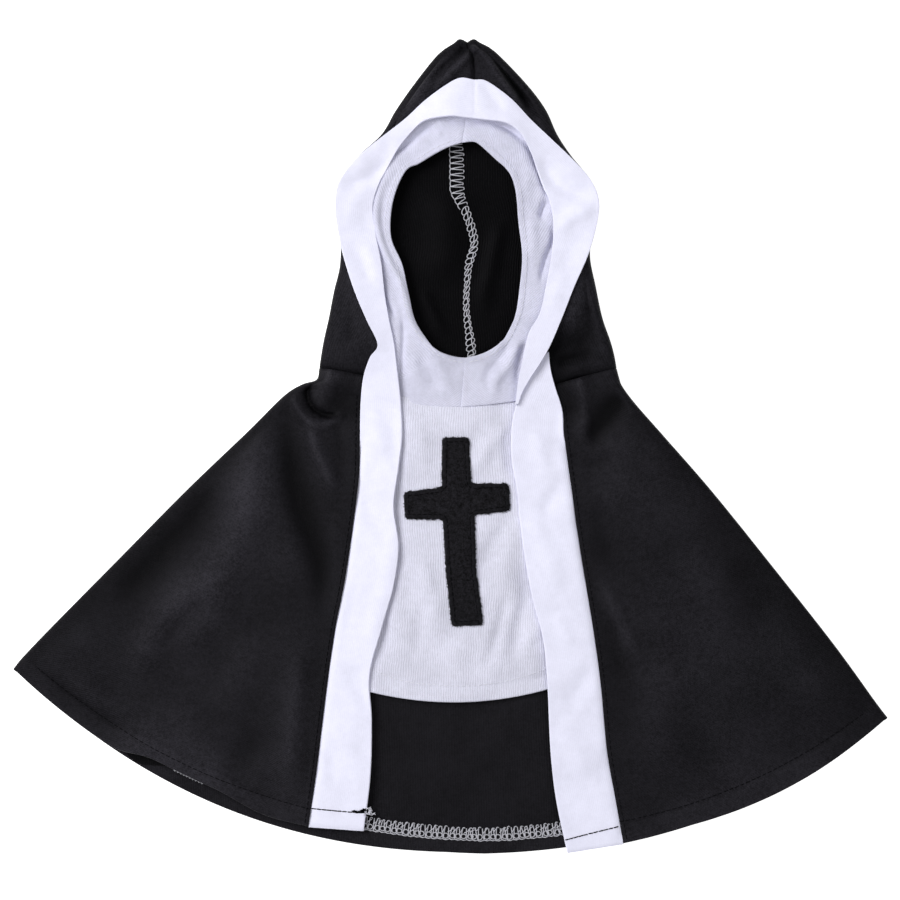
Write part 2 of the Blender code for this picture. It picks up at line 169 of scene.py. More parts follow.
# The hood's folds and the seam down its back, a row for each row of the strip from the neck to the top.
# Each row: left fold x, y, seam x, y, right fold x, y, height of the cloth over the folds.
HOOD = (
    (-65.5, 38.9, 9.2, 36, 83, 38.7, 5.4),
    (-64.6, 45, 9.5, 44, 81.6, 46, 6),
    (-63.2, 53, 9.6, 52, 79.6, 53, 6.4),
    (-60.7, 64, 8.3, 63, 75.8, 64, 6.8),
    (-58.2, 77, 7.4, 76, 72.6, 79, 7.2),
    (-55.2, 90, 8, 90, 69.6, 96, 7.3),
    (-55, 104, 9.6, 104, 72.6, 112, 7.4),
    (-56.8, 118.5, 7.2, 117, 73, 123.5, 7.4),
    (-55, 131.5, 4.6, 128, 68.8, 134, 7.4),
    (-46.5, 144, 4.4, 138, 60, 145, 7.2),
    (-34.4, 155.5, 4.6, 147, 53.2, 155.5, 6.8),
    (-27.3, 167.5, 5, 157, 47.4, 168, 6.4),
    (-17.5, 181.5, 5.8, 170, 37.6, 181, 6),
    (-6.2, 195.5, 6.8, 184, 22.3, 196.8, 5.6),
    (1.6, 201, 7.4, 190, 14.6, 201.4, 5.4),
    (4.6, 203.2, 7.9, 194, 11.6, 203.2, 5.2),
    (8.3, 201.6, 8.4, 196.5, 8.5, 201.6, 5),
)

# The cape's sections from the neck to the hem. Each row: y of the left front edge, left fold x, y,
# middle of the back x, y, right fold x, y, y of the right front edge, height over the folds,
# bow of the fronts as a share of their width, thickness.
CAPE = (
    (34.5, -65.5, 38.9, 9.2, 36, 83, 38.7, 29.5, 5.4, 0, JERSEY),
    (30, -67, 32.9, 9.1, 32, 84.2, 34, 26.5, 5.1, 0.01, JERSEY),
    (25, -74.6, 30.3, 9, 27, 86, 29.4, 22.5, 4.8, 0.02, JERSEY),
    (16, -83.8, 24.4, 9, 12, 92.7, 20.5, 13, 4.4, 0.04, JERSEY),
    (-8, -101.2, 7.2, 10, -22, 106.4, 5, -9, 4.2, 0.06, JERSEY),
    (-45, -132, -22.3, 12, -66, 131.1, -23.3, -44, 4, 0.06, JERSEY),
    (-95, -168.2, -59, 14, -120, 161.7, -61.3, -93, 3.8, 0.06, JERSEY),
    (-145, -197.4, -88.5, 15.5, -167, 191.4, -99, -145, 3.7, 0.06, JERSEY),
    (-180, -212.8, -104.6, 16.5, -193, 212.4, -128, -186, 4, 0.06, HEM),
    (-189.5, -218.2, -111.3, 17, -203.7, 218.2, -135.6, -198, 4.2, 0.06, HEM),
)
CENTRE = (16, 144)  # of the cape's fan
FOLD_RAISE = 1.45  # how much higher the cape's folds stand than in their table
HEM_BOWS = ((2.9, -230, -2), (1.8, 120, 225))  # how far the hem bows out, between two places in x
HEM_LIFT = (1.2, 3.2, 1.5)  # how far the left front's hem is drawn back and up, in x, y, z
PEEP = (-138, -123)  # where the back's stitches peep out below it, in x
CAPE_STEPS = (8, 8, 8, 14, 22, 28, 26, 26, 20)  # steps between those rows, finer at the neck and the hem
CAPE_COLUMNS = (50, 8, 56)  # over the front, round the fold, and over half of the back
HOOD_COLUMNS = (26, 10, 34)
CROSS_STEP = 0.75  # the cross's grid
CROSS_CORNER = 1.8  # how far its corners are rounded
CROSS_INSET = 2.2  # its stitches, in from its edge

# The coif's face edge, a row for each row of the strip from the pinch to the top. Each row: x, y, z.
FACE_LEFT = (
    (-11, 51.8, 6.2), (-17.8, 62.5, 6.2), (-21, 76, 6), (-24, 90.5, 6.2),
    (-29.4, 103.5, 7.4), (-29.3, 117.5, 7.6), (-26.2, 129.3, 7.8), (-21.5, 137.6, 8),
    (-16, 140.3, 7.6), (-10.5, 143.6, 8.2), (-6, 146.2, 8.5), (-1, 148.6, 8.8),
    (5.6, 150.8, 9),
)  # fmt: skip
FACE_RIGHT = (
    (27.4, 54.6, 6.6), (32.2, 65, 6.9), (34.5, 80, 7.2), (35.6, 95, 7.5),
    (33.8, 111, 7.8), (33, 121.5, 8), (32, 128.5, 8), (30, 134.5, 8),
    (27, 138.6, 8), (22.7, 142.3, 8.2), (18.2, 146.5, 8.5), (12.4, 151, 8.8),
    (5.9, 150.8, 9),
)  # fmt: skip

# The coif below the pinch, from the chin outward. Each row: outer x, y, z, face edge x, y, z.
CHIN_LEFT = (
    (5.6, 19.4, 4.6, 7.6, 44, 6),
    (-14.2, 20.3, 4.4, 3, 44.4, 6.1),
    (-37.5, 25.4, 3.1, -2, 45.7, 6.2),
    (-36, 36.5, 4.6, -6.6, 47.8, 6.4),
)
CHIN_RIGHT = (
    (5.9, 19.4, 4.6, 7.9, 44, 6),
    (24, 21.2, 4.4, 13, 45.2, 6.1),
    (42, 25, 3, 18, 47, 6.2),
    (41, 36, 3.3, 22.8, 49.9, 6.4),
    (40.6, 45, 4.2, 25, 51.8, 6.5),
)

# The bib's sections from the chin seam to its hem. Each row: left y, right y, dip of the middle.
BIB = (
    (27.5, 26, 5.6), (24.5, 22.6, 5.4), (-10, -10, 2.5), (-50, -50, 4.5), (-90, -89, 7), (-119.5, -117, 9.6),
)  # fmt: skip

# The cross, clockwise from the top left corner. Each row: x, y. The foot leans to the right.
CROSS = (
    (-3.9, 4.2), (9, 4.4), (10.4, -18.8), (28.9, -18.6), (29.9, -32.2), (12, -34.4), (12.8, -62),
    (16.4, -89), (0.6, -90), (-2.3, -62), (-3.8, -36.5), (-22.6, -36.4), (-23.2, -23), (-4.4, -20.6),
)  # fmt: skip

# Folds and hollows laid over the cloth. Each row: height (a hollow is below 0), width, then its path x, y.
CAPE_FOLDS = (
    (2.4, 11, (-86, 22), (-96, -8), (-104, -40), (-120, -72), (-144, -108)),
    (-2.4, 7, (-79, 26), (-80, 0), (-75, -26), (-67, -50), (-60, -76), (-60, -104)),
    (1.9, 3.6, (-71, 17), (-67.5, 1), (-62, -12), (-55, -27)),
    (-1, 4, (-56, 14), (-53, -2), (-51, -22)),
    (-1.3, 11, (-112, -12), (-128, -36), (-150, -60), (-172, -88)),
    (1.5, 8, (-122, -58), (-134, -74), (-150, -98), (-160, -118)),
    (-1, 5, (-116, -72), (-133, -87), (-146, -100)),
    (-4.2, 1.3, (-66, 42), (-70.4, 32), (-71.2, 24.5), (-68, 18.4), (-62, 15.4), (-57, 15.4), (-53, 16)),
    (1.6, 5, (-56, 44), (-60, 33), (-63.5, 24), (-64, 14)),
    (1.5, 2, (-82, 33), (-77.5, 22), (-72.5, 14), (-65, 10.6), (-57, 13), (-49, 20)),
    (1, 9, (-98, -88), (-106, -117), (-116, -140)),
    (-1, 8, (-90, -138), (-104, -156), (-112, -174)),
    (1.4, 5, (-74, -96), (-78, -132), (-80, -178)),
    (0.8, 5, (-195, -109.5), (-175, -124.5), (-150, -138)),
    (-0.6, 5.5, (-205, -108), (-185, -128), (-160, -143)),
    (0.9, 9, (-180, -85), (-195, -100), (-208, -108)),
    (-2.6, 6, (88, 27), (80, 17), (72.5, 8), (64, 1)),
    (2.2, 4, (62, 42), (65, 28), (66, 14), (66, -2)),
    (0.5, 6, (98, 8), (88, 0), (76, -6), (64, -8)),
    (-1, 4.5, (64, -10), (74, -8), (84, -3)),
    (0.7, 9, (92, -10), (86, -22), (74, -30)),
    (-0.9, 9, (62, -27), (70, -47), (76, -62)),
    (1.4, 3.5, (71, -62), (84, -86), (96, -112)),
    (-1, 6, (71, -78), (80, -98), (84, -122)),
    (0.4, 11, (112, -20), (124, -57), (136, -92)),
    (-0.5, 12, (128, -22), (147, -62), (160, -107)),
    (0.5, 12, (152, -72), (172, -102), (186, -132)),
    (-1.1, 12, (102, -120), (122, -150), (140, -165)),
    (0.8, 10, (100, -97), (106, -127), (105, -162)),
)  # fmt: skip
HOOD_FOLDS = (  # on the sides, then on the crown
    (-0.9, 4, (-52.2, 78), (-49.2, 60.5), (-49.8, 47)),
    (0.3, 4.5, (-58.2, 63), (-56.2, 50.5), (-50.2, 40)),
    (-1.3, 2.6, (50.8, 40), (62.2, 44), (73.8, 45.5)),
    (0.6, 2.6, (54.8, 35), (68.8, 40.5), (80.8, 43)),
    (0.7, 5, (67.2, 80.5), (62.2, 63), (57.8, 50.5)),
    (-1.8, 7, (72.8, 84), (69.8, 62.5), (62.8, 43)),
    (2.4, 1.7, (19, 208), (10.5, 198.5), (4.4, 191.4), (-1, 184.8), (-9, 175)),
    (-2, 2.4, (14, 210), (6, 199), (0, 192.5), (-5.5, 186), (-13, 177)),
    (3, 1.8, (-4, 209), (9.5, 200), (15, 196.5), (20.4, 190.3), (27, 180.4), (34, 170.5), (42, 158)),
    (-3, 3.2, (6, 210), (16, 201), (24, 192.5), (31.5, 181.5), (38, 171.5), (46, 159)),
    (-1.6, 1, (6, 208), (8.5, 200), (8.6, 194), (8.6, 184), (8.6, 174)),
    (2.8, 6, (4, 206), (-6.2, 192), (-14.2, 180), (-24.2, 164)),
)
HOOD_INSIDE = (  # on the back of the hood, seen through the opening
    (2.2, 10, (-2.8, 133), (-1.8, 102), (-5.2, 78)),
    (1.6, 3.6, (26.8, 115.5), (22.8, 102), (19.8, 87.5), (17.2, 78), (16.2, 63)),
    (1, 2.6, (-15.2, 80.5), (-9.2, 67), (-1.8, 53)),
    (0.4, 5, (-26, 128), (-28, 112), (-24, 94)),
)
STRIP_FOLDS = (  # round the hood, then down the left front
    (-1.5, 4, (-28.2, 144), (-42.2, 132.5), (-55.2, 128.5)),
    (0.8, 5, (-39.2, 135), (-47.2, 120.5), (-52.2, 105.5)),
    (-1.1, 3, (-13.2, 161.5), (-20.2, 154), (-26.8, 147)),
    (0.6, 4, (-29.2, 153), (-40.2, 147), (-49.2, 139)),
    (-0.6, 3.5, (-50.8, 103), (-44.2, 92), (-39.2, 80.5)),
    (0.6, 3.5, (-41.2, 103), (-37.2, 88), (-33.2, 73)),
    (-1.6, 4, (43.8, 145), (50.8, 132), (62.2, 125.5), (74.2, 125)),
    (1.4, 3.5, (51.8, 106), (60.2, 113.5), (73.2, 118.5)),
    (0.5, 5, (43.8, 159), (57.8, 147), (68.8, 135)),
    (-0.6, 4, (69.8, 105.5), (60.8, 98), (54.8, 85.5)),
    (0.6, 4, (57.8, 88), (52.8, 75.5), (47.2, 63)),
    (0.5, 4, (-10.2, 167), (0.8, 175), (9.8, 178)),
    (-0.7, 3.5, (14.8, 181), (20.8, 173), (27.2, 164)),
    (0.5, 4, (24.8, 177), (32.8, 169), (38.8, 161)),
    (-0.3, 0.8, (11.8, 187), (12, 173), (11.8, 158)),
    (-0.8, 4, (-46.8, -12), (-42.2, -27), (-36.2, -38)),
    (0.9, 4.5, (-27.2, -27), (-29.8, -57), (-37.2, -87), (-44.2, -111)),
    (-0.9, 4, (-53.8, -109), (-44.8, -122), (-39.8, -134.5)),
    (0.6, 5, (-54.2, -139.5), (-48.2, -159.5), (-47.2, -179.5)),
    (-0.5, 3, (-60.2, -152), (-57.2, -172)),
    (0.7, 4, (-39.2, 25.5), (-37.2, 8), (-35.2, -9.5)),
    (-0.6, 3, (-29.2, 18), (-28.2, 0.5), (-26.2, -17)),
    (-0.5, 4, (-49.2, -57), (-50.2, -82), (-53.2, -102)),
)
STRIP_RIGHT_FOLDS = (
    (-0.9, 4, (59.8, -11), (51.2, -24.5), (44.8, -37)),
    (0.8, 4.5, (38.8, -27), (47.2, -51), (57.2, -73)),
    (-0.8, 3.2, (63.2, -27), (66.8, -49.5), (69.8, -73)),
    (-1, 4, (73.8, -104.5), (65.2, -119.5), (55.8, -133)),
    (0.8, 5, (52.8, -137), (62.2, -151), (69.8, -168)),
    (-0.5, 3, (77.2, -149.5), (75.2, -172)),
    (0.7, 4, (42.2, 13), (44.8, -2), (48.8, -16)),
    (0.6, 4, (52.8, -82), (60.8, -102)),
    (-0.5, 3.5, (55.8, 23), (52.8, 8), (56.8, -4.5)),
)
COIF_FOLDS = (  # the turned rim on the left first, then the hollows under the strip's inner edge
    (1.8, 1.8, (-20.2, 140.5), (-29.3, 135.8), (-34.9, 127.3), (-37, 115.5), (-35.2, 104), (-31, 93),
     (-26.2, 83.5), (-22.2, 71), (-18.8, 59.5), (-10.8, 49.5), (-2.2, 45.5), (7.8, 43.5)),
    (0.4, 3, (-36, 132), (-33, 137), (-27, 143), (-20, 147.5)),
    (-2, 1.4, (-37, 98), (-34.8, 84), (-32.8, 72), (-29, 66), (-25, 60)),
    (-1.7, 1.3, (-24.5, 68), (-23.4, 55), (-24.4, 42), (-24.8, 30)),
    (-2.4, 1.9, (-4, 162.5), (-12, 158.5), (-18, 153.5), (-24, 148.5), (-30, 145)),
    (-2.4, 2.4, (-8, 163), (6, 161.5), (20, 161.5), (32, 156.5), (41, 147)),
    (-1.4, 1.6, (20, 161), (29, 157.5), (37, 151)),
    (-3.2, 2, (34, 154), (41.5, 145.5), (45, 135), (47.5, 126.5), (49.5, 122)),
    (-3.4, 1.6, (48.5, 123.5), (46, 118), (44.5, 112)),
    (-3, 1.6, (50, 112), (51.2, 103), (48.5, 96), (46, 88), (45, 79)),
    (1.3, 2.4, (41, 140.5), (45.5, 128), (43, 121.5)),
    (1.2, 3, (40, 116), (41, 104), (41, 92)),
    (1.5, 2, (35, 56), (32, 47), (28, 39), (23, 33), (21.5, 27), (21.2, 20)),
    (-1.2, 2.2, (29.5, 55.5), (26.2, 46), (19.2, 37), (16.8, 27)),
    (-1.6, 1.9, (38.2, 54), (35, 45), (33.5, 36), (33, 28)),
    (-1.2, 3, (-16.5, 49), (-11, 38), (-6, 26)),
    (0.9, 3, (-20.5, 46), (-17, 34), (-15, 24)),
    (0.8, 3, (-8, 45), (-3, 34), (0.5, 24)),
    (0.5, 2, (-7.2, 157), (-5.2, 153)),
    (0.8, 2.5, (34.8, 148), (38.8, 136), (38.2, 125)),
)  # fmt: skip
BIB_FOLDS = (
    (-0.9, 3, (-23.5, 22), (-24, 3), (-26.5, -27), (-24, -56)),
    (-1, 3.5, (-25, -46), (-31.5, -80), (-38, -116)),
    (-1.6, 3, (29, 14), (28.5, 0), (31, -18)),
    (-2.2, 4, (36.5, -55), (37.5, -76), (33.5, -92), (31, -112)),
    (-1.2, 3, (29, -72), (23, -95), (17, -112)),
    (1.3, 5, (41.5, -98), (42, -108), (43, -118)),
    (0.9, 5, (35, -37), (28, -57), (24, -78)),
    (1.1, 6, (4, -92), (5, -105), (4, -122)),
    (-0.8, 4, (-13, -72), (-15, -87), (-17, -108)),
    (0.8, 4.5, (-14, -50), (-11, -72), (-6, -92)),
    (0.8, 4, (-15, 13), (-14, -2), (-12, -18)),
    (0.7, 4, (20, 12), (17, -4), (18, -18)),
    (-0.9, 5, (-22, -40), (-20, -60), (-24, -84)),
    (1, 4, (34, 14), (24, 4), (13, -8), (4, -16)),
    (-1.1, 4, (34, -32), (24, -44), (17, -58), (14, -74)),
    (1, 4.5, (-28, -38), (-18, -56), (-8, -74), (0, -94)),
    (1, 3.5, (50, -82), (40, -96), (32, -112)),
)
CROSS_FOLDS = (
    (-0.4, 0.6, (1.2, -17), (0.9, -25), (1.3, -35)),
    (0.3, 0.7, (-2, -19.5), (3, -19), (8, -20)),
    (0.3, 1, (3, -48), (5.5, -62), (7, -80)),
)

# Thread lines, each a path of x, y.
HOOD_SEAM = (  # the overlocked seam down the back of the hood, with its width at each point
    (2.9, 150, 6.4), (3.2, 139, 6.4), (3.2, 128, 6), (4.6, 123.5, 5), (7.8, 116.5, 4),
    (10.9, 107, 4.2), (11.8, 100.5, 4), (9.4, 91.5, 3.4), (8.6, 84.5, 3), (7.9, 74, 2.8),
    (8.2, 64.5, 3.2), (9.3, 56.5, 4), (10.6, 46, 4.6), (11, 40, 4.6),
)  # fmt: skip
END_LEFT = ((-69.4, -180.6), (-60.2, -181.5), (-50.2, -182.4), (-39.6, -182.9))
END_RIGHT = ((56.2, -196.5), (69.8, -193), (83.6, -189.6))
BIB_HEM = (
    (-41, -110.5), (-37.2, -112.5), (-24.2, -117), (-10.2, -119), (11.2, -119.5), (31.2, -116.5), (48, -111),
)  # fmt: skip
END_KNOT = ((-45.4, -181.9), (1.3, 0.3))  # at the foot of the left strip, with how far it spreads
LOOSE_END = ((-40.4, -182.4), (1.1, 0.8))  # the white tuft beside it


def smooth(t):
    """Goes softly from 0 to 1 as t does, and stays at 0 below it and at 1 above it."""
    t = np.clip(t, 0, 1)
    return t * t * (3 - 2 * t)


def through(rows, places):
    """Reads a table between its rows, as smooth curves through them. Places are counted in rows."""
    rows, places = np.array(rows, float), np.asarray(places, float)
    start = np.clip(places.astype(int), 0, len(rows) - 2)
    t = (places - start)[:, None]
    slope = np.gradient(rows, axis=0)
    ahead = t * t * (3 - 2 * t)
    return (
        rows[start] * (1 - ahead)
        + rows[start + 1] * ahead
        + slope[start] * t * (1 - t) ** 2
        - slope[start + 1] * t * t * (1 - t)
    )


def spread(steps):
    """Places in a table with that many steps between its rows."""
    parts = [np.arange(count) / count + row for row, count in enumerate(steps)]
    return np.concatenate([*parts, [len(steps)]])


def sampled(rows, per_row):
    """The table as smooth curves through its rows, with that many steps from row to row."""
    return through(rows, spread([per_row] * (len(rows) - 1)))


def paced(path, pace):
    """Points along a smooth path at an even pace, with the direction of the path at each."""
    fine = sampled(path, 24)
    run = np.concatenate([[0], np.cumsum(np.hypot(*np.diff(fine[:, :2], axis=0).T))])
    at = np.arange(0, run[-1], pace)
    points = np.column_stack([np.interp(at, run, fine[:, k]) for k in range(fine.shape[1])])
    ahead = np.gradient(points[:, :2], axis=0)
    return points, ahead / np.linalg.norm(ahead, axis=1, keepdims=True)


def lumps(x, y, size, seed):
    """Soft unevenness from -1 to 1, with lumps of that size."""
    random = np.random.default_rng(seed).uniform(-1, 1, (64, 64))
    x, y = x / size + 1000, y / size + 1000
    i, j = np.floor(x).astype(int), np.floor(y).astype(int)
    s, t = smooth(x - i), smooth(y - j)
    corner = [random[(i + a) % 64, (j + b) % 64] for a in (0, 1) for b in (0, 1)]
    return (corner[0] * (1 - t) + corner[1] * t) * (1 - s) + (corner[2] * (1 - t) + corner[3] * t) * s


def fold_height(xy, folds):
    """The height that the folds add at each point. Each fold fades out towards both its ends."""
    total = np.zeros(len(xy))
    for height, width, *path in folds:
        line = sampled(path, 5) if len(path) > 2 else np.array(path, float)
        start, step = line[:-1], np.diff(line, axis=0)
        length = np.hypot(*step.T)
        run = np.concatenate([[0], np.cumsum(length)])
        away = xy[:, None, :] - start[None]
        share = np.clip((away * step).sum(axis=2) / length**2, 0, 1)
        distance = np.hypot(*np.moveaxis(away - share[:, :, None] * step, 2, 0))
        nearest = distance.argmin(axis=1)
        rows = np.arange(len(xy))
        place = (run[nearest] + share[rows, nearest] * length[nearest]) / run[-1]
        fade = smooth(np.minimum(place, 1 - place) / 0.3)
        total += height * fade * np.exp(-((distance[rows, nearest] / width) ** 2))
    return total


def lay_folds(grid, folds, weight=1.0, lump=(0.0, 0.0), seed=1):
    """Adds folds and soft lumps to the height of a grid of points."""
    xy = grid[:, :, :2].reshape(-1, 2)
    x, y = xy.T
    rise = fold_height(xy, folds) + lump[0] * lumps(x, y, 26, seed) + lump[1] * lumps(x, y, 9, seed + 1)
    grid[:, :, 2] += rise.reshape(grid.shape[:2]) * weight


def edge_at(band, y, lap):
    """A point of the strip at that y, with its z. Lap is its share of the width in from the outer edge."""
    rows = sampled(band, 8)
    outer, inner = rows[:, (0, 1, 4)], rows[:, (2, 3, 5)]
    along = outer + (inner - outer) * lap
    return np.array([np.interp(y, along[:, 1], along[:, k]) for k in range(3)])


def bowed(a, b, depth, shares):
    """Points of a shallow arc in plan from a to b, which bows by depth towards -Y."""
    chord = b - a
    down = np.array([chord[1], -chord[0]]) / np.hypot(*chord)
    down *= -1 if down[1] > 0 else 1
    return a + np.outer(shares, chord) + np.outer(4 * shares * (1 - shares) * depth, down)


def half_depth(a, middle, b):
    """How far each half of the arc through three points bows from its own chord: (a's half, b's half)."""
    first, second, whole = middle - a, b - middle, b - a
    lengths = [np.hypot(*side) for side in (first, second, whole)]
    bend = 2 * (first[0] * second[1] - first[1] * second[0]) / np.prod(lengths)
    return bend * lengths[0] ** 2 / 8, bend * lengths[1] ** 2 / 8


def folded_section(front_l, fold_l, middle, fold_r, front_r, top, thick, bow, swell, columns, covered):
    """One section of cloth that wraps round: (left half, right half), each from front edge to middle."""
    base = thick / 2
    radius = (top - base) / 2
    turns, outs = [], []
    for front, fold in ((front_l, fold_l), (front_r, fold_r)):
        out = fold - (front[:2] + middle) / 2
        out /= np.hypot(*out)
        outs.append(out)
        turns.append(fold - out * (radius + thick / 2))
    depths = half_depth(turns[0], middle, turns[1])
    halves = []
    for front, turn, out, depth in zip((front_l, front_r), turns, outs, depths):
        width = np.hypot(*(turn - front[:2]))
        flat = min(covered / width, 0.5)
        s = np.linspace(0, 1, columns[0] + 1)[:-1]
        plan = bowed(front[:2], turn, bow * width, s)
        free = np.maximum(s - flat, 0) / (1 - flat)
        rise = front[2] + (top - front[2]) * smooth(free) + swell * np.sin(np.pi * free)
        points = [np.column_stack([plan, rise])]
        angle = np.linspace(np.pi / 2, -np.pi / 2, columns[1] + 1)
        plan = turn + np.outer(np.cos(angle) * radius, out)
        points.append(np.column_stack([plan, base + radius + radius * np.sin(angle)]))
        s = np.linspace(0, 1, columns[2] + 1)[1:]
        plan = bowed(turn, middle, depth, s)
        points.append(np.column_stack([plan, np.full(len(s), base)]))
        halves.append(np.concatenate(points))
    return halves


def front_weight(columns):
    """1 over the front of a wrapped section and 0 from the fold on."""
    column = np.arange(sum(columns) + 1)
    return smooth((columns[0] - column) / (0.12 * columns[0]))


def back_weight(columns):
    """1 over the back of a wrapped section and 0 up to its fold."""
    column = np.arange(sum(columns) + 1)
    return smooth((column - columns[0] - columns[1]) / (0.2 * columns[2]))


def keep_above(grid, least):
    """Stops hollows from going through the cloth below."""
    over = grid[:, :, 2] - least
    grid[:, :, 2] = least + 0.5 * (over + np.sqrt(over**2 + 0.6))


def normals_of(grid):
    """The way out of the cloth at each point of its middle surface."""
    down, across = np.gradient(grid, axis=0), np.gradient(grid, axis=1)
    normal = np.cross(down, across)
    return normal / np.maximum(np.linalg.norm(normal, axis=2, keepdims=True), 1e-9)


def dip_edge(grid, side, depth, reach):
    """Pulls the cloth down towards an edge where it is sewn, unless it already lies on the table. Side is 0
    for the first row, -1 for the last."""
    gap = np.linalg.norm(grid - grid[side][None], axis=2)
    grid[:, :, 2] -= depth * np.exp(-((gap / reach) ** 2)) * smooth((grid[:, :, 2] - 1.5) / 2)


def with_rims(grid, thick):
    """Adds two lines of points close to each edge and thins the cloth there, so that its rims are round."""
    thick = np.broadcast_to(thick, grid.shape[:2]).copy()
    for axis in (0, 1):
        for turned in (False, True):
            grid, thick = np.moveaxis(grid, axis, 0), np.moveaxis(thick, axis, 0)
            if turned:
                grid, thick = grid[::-1], thick[::-1]
            step = grid[1] - grid[0]
            length = np.maximum(np.linalg.norm(step, axis=1, keepdims=True), 1e-6)
            first = grid[0] + step * np.minimum(0.12 / length, 0.2)
            second = grid[0] + step * np.minimum(0.4 / length, 0.5)
            grid = np.concatenate([grid[:1], [first], [second], grid[1:]])
            thick = np.concatenate([thick[:1] * 0.25, thick[:1] * 0.7, thick[:1], thick[1:]])
            if turned:
                grid, thick = grid[::-1], thick[::-1]
            grid, thick = np.moveaxis(grid, 0, axis), np.moveaxis(thick, 0, axis)
    return grid, thick


def cloth_run(grid, base):
    """How far each point lies across and along the cloth, in millimetres, counted from the base column."""
    across = np.linalg.norm(np.diff(grid, axis=1), axis=2)
    u = np.concatenate([np.zeros((len(grid), 1)), np.cumsum(across, axis=1)], axis=1)
    along = np.linalg.norm(np.diff(grid, axis=0), axis=2)
    v = np.concatenate([np.zeros((1, grid.shape[1])), np.cumsum(along, axis=0)])
    return u - u[:, base : base + 1], np.repeat(v[:, base : base + 1], grid.shape[1], axis=1)


def shell(name, grid, thick, finish, base=0, keep=None, rims=True):
    """A closed shell of cloth on its middle surface, with the run of the cloth as its UV map."""
    if rims:
        grid, thick = with_rims(grid, thick)
        base = base + 2 if base > 0 else base
    rows, columns = grid.shape[:2]
    offset = normals_of(grid) * np.broadcast_to(thick, (rows, columns))[:, :, None] / 2
    points = np.concatenate([(grid + offset).reshape(-1, 3), (grid - offset).reshape(-1, 3)])
    keep = np.ones((rows - 1, columns - 1), bool) if keep is None else keep
    padded = np.pad(keep, 1)
    count = rows * columns
    r, c = np.nonzero(keep)
    corner = r * columns + c
    near = np.stack([corner, corner + columns, corner + columns + 1, corner + 1], axis=1)
    faces = [near, near[:, ::-1] + count]
    beside = (padded[r + 1, c], padded[r + 2, c + 1], padded[r + 1, c + 2], padded[r, c + 1])
    for side, kept in enumerate(beside):
        a, b = near[~kept, side], near[~kept, (side + 1) % 4]
        faces.append(np.stack([b, a, a + count, b + count], axis=1))
    used, index = np.unique(np.concatenate(faces), return_inverse=True)
    index = index.reshape(-1, 4)
    points = points[used] * MM
    a, b, c, d = (points[index[:, k]] for k in range(4))
    volume = np.einsum("ij,ij->", a, np.cross(b, c)) + np.einsum("ij,ij->", a, np.cross(c, d))
    index = index if volume > 0 else index[:, ::-1]
    mesh = bpy.data.meshes.new(name + "_cloth")
    mesh.from_pydata(points.tolist(), [], index.tolist())
    u, v = cloth_run(grid, base)
    run = np.stack([u.ravel(), v.ravel()], axis=1)
    run = np.concatenate([run, run])[used] * MM
    loops = np.empty(len(mesh.loops), int)
    mesh.loops.foreach_get("vertex_index", loops)
    mesh.uv_layers.new(name="cloth").data.foreach_set("uv", run[loops].ravel())
    mesh.shade_smooth()
    mesh.materials.append(finish)
    made = bpy.data.objects.new(name + "_cloth", mesh)
    bpy.context.scene.collection.objects.link(made)
    return made


def tree_of(*pieces):
    """The pieces' faces, to find the height of the cloth with."""
    points, faces = [], []
    for piece in pieces:
        start = len(points)
        points += [v.co for v in piece.data.vertices]
        faces += [[k + start for k in p.vertices] for p in piece.data.polygons]
    return BVHTree.FromPolygons(points, faces)


def height_on(tree, x, y, otherwise):
    """The height of the top surface at a place, in millimetres, or otherwise where there is none."""
    hit = tree.ray_cast(Vector((x * MM, y * MM, 0.1)), Vector((0, 0, -1)))[0]
    return hit.z / MM if hit else otherwise


def sew(name, strands, radius, finish, sides=6):
    """Thread: a round tube along each strand, all joined in one mesh."""
    points, faces = [], []
    turn = np.arange(sides) * 2 * np.pi / sides
    for strand in strands:
        strand = np.array(strand, float)
        ahead = np.gradient(strand, axis=0)
        ahead /= np.maximum(np.linalg.norm(ahead, axis=1, keepdims=True), 1e-9)
        side = np.cross(ahead, (0.05, 0.03, 1.0))
        side /= np.linalg.norm(side, axis=1, keepdims=True)
        up = np.cross(side, ahead)
        rings = strand[:, None] + radius * (
            np.cos(turn)[None, :, None] * side[:, None] + np.sin(turn)[None, :, None] * up[:, None]
        )
        start = len(points)
        points += (rings.reshape(-1, 3) * MM).tolist()
        for k in range(len(strand) - 1):
            for i in range(sides):
                j = (i + 1) % sides
                a, b = start + k * sides, start + (k + 1) * sides
                faces.append((a + i, b + i, b + j, a + j))
        last = start + (len(strand) - 1) * sides
        faces.append([start + i for i in range(sides)])
        faces.append([last + i for i in reversed(range(sides))])
    mesh = bpy.data.meshes.new(name)
    mesh.from_pydata(points, [], faces)
    mesh.shade_smooth()
    mesh.materials.append(finish)
    made = bpy.data.objects.new(name, mesh)
    bpy.context.scene.collection.objects.link(made)
    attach(made, "root")
    return made


def running(path, tree, pitch=3.0, length=2.3, lift=0.05, seed=5):
    """Strands of a sewn line: stitches laid on the cloth, each going down into it at both ends."""
    random = np.random.default_rng(seed)
    points, ahead = paced(path, pitch)
    strands = []
    for (x, y), way in zip(points[:, :2], ahead):
        run = length * (1 + 0.1 * random.uniform(-1, 1))
        slant = np.array([-way[1], way[0]]) * 0.12 * random.uniform(-1, 1)
        strand = []
        for share, rise in ((0, -0.35), (0.12, 0.0), (0.5, 0.08), (0.88, 0.0), (1, -0.35)):
            px, py = np.array([x, y]) + way * run * share + slant * (share - 0.5)
            strand.append((px, py, height_on(tree, px, py, 4.0) + lift + rise))
        strands.append(strand)
    return strands


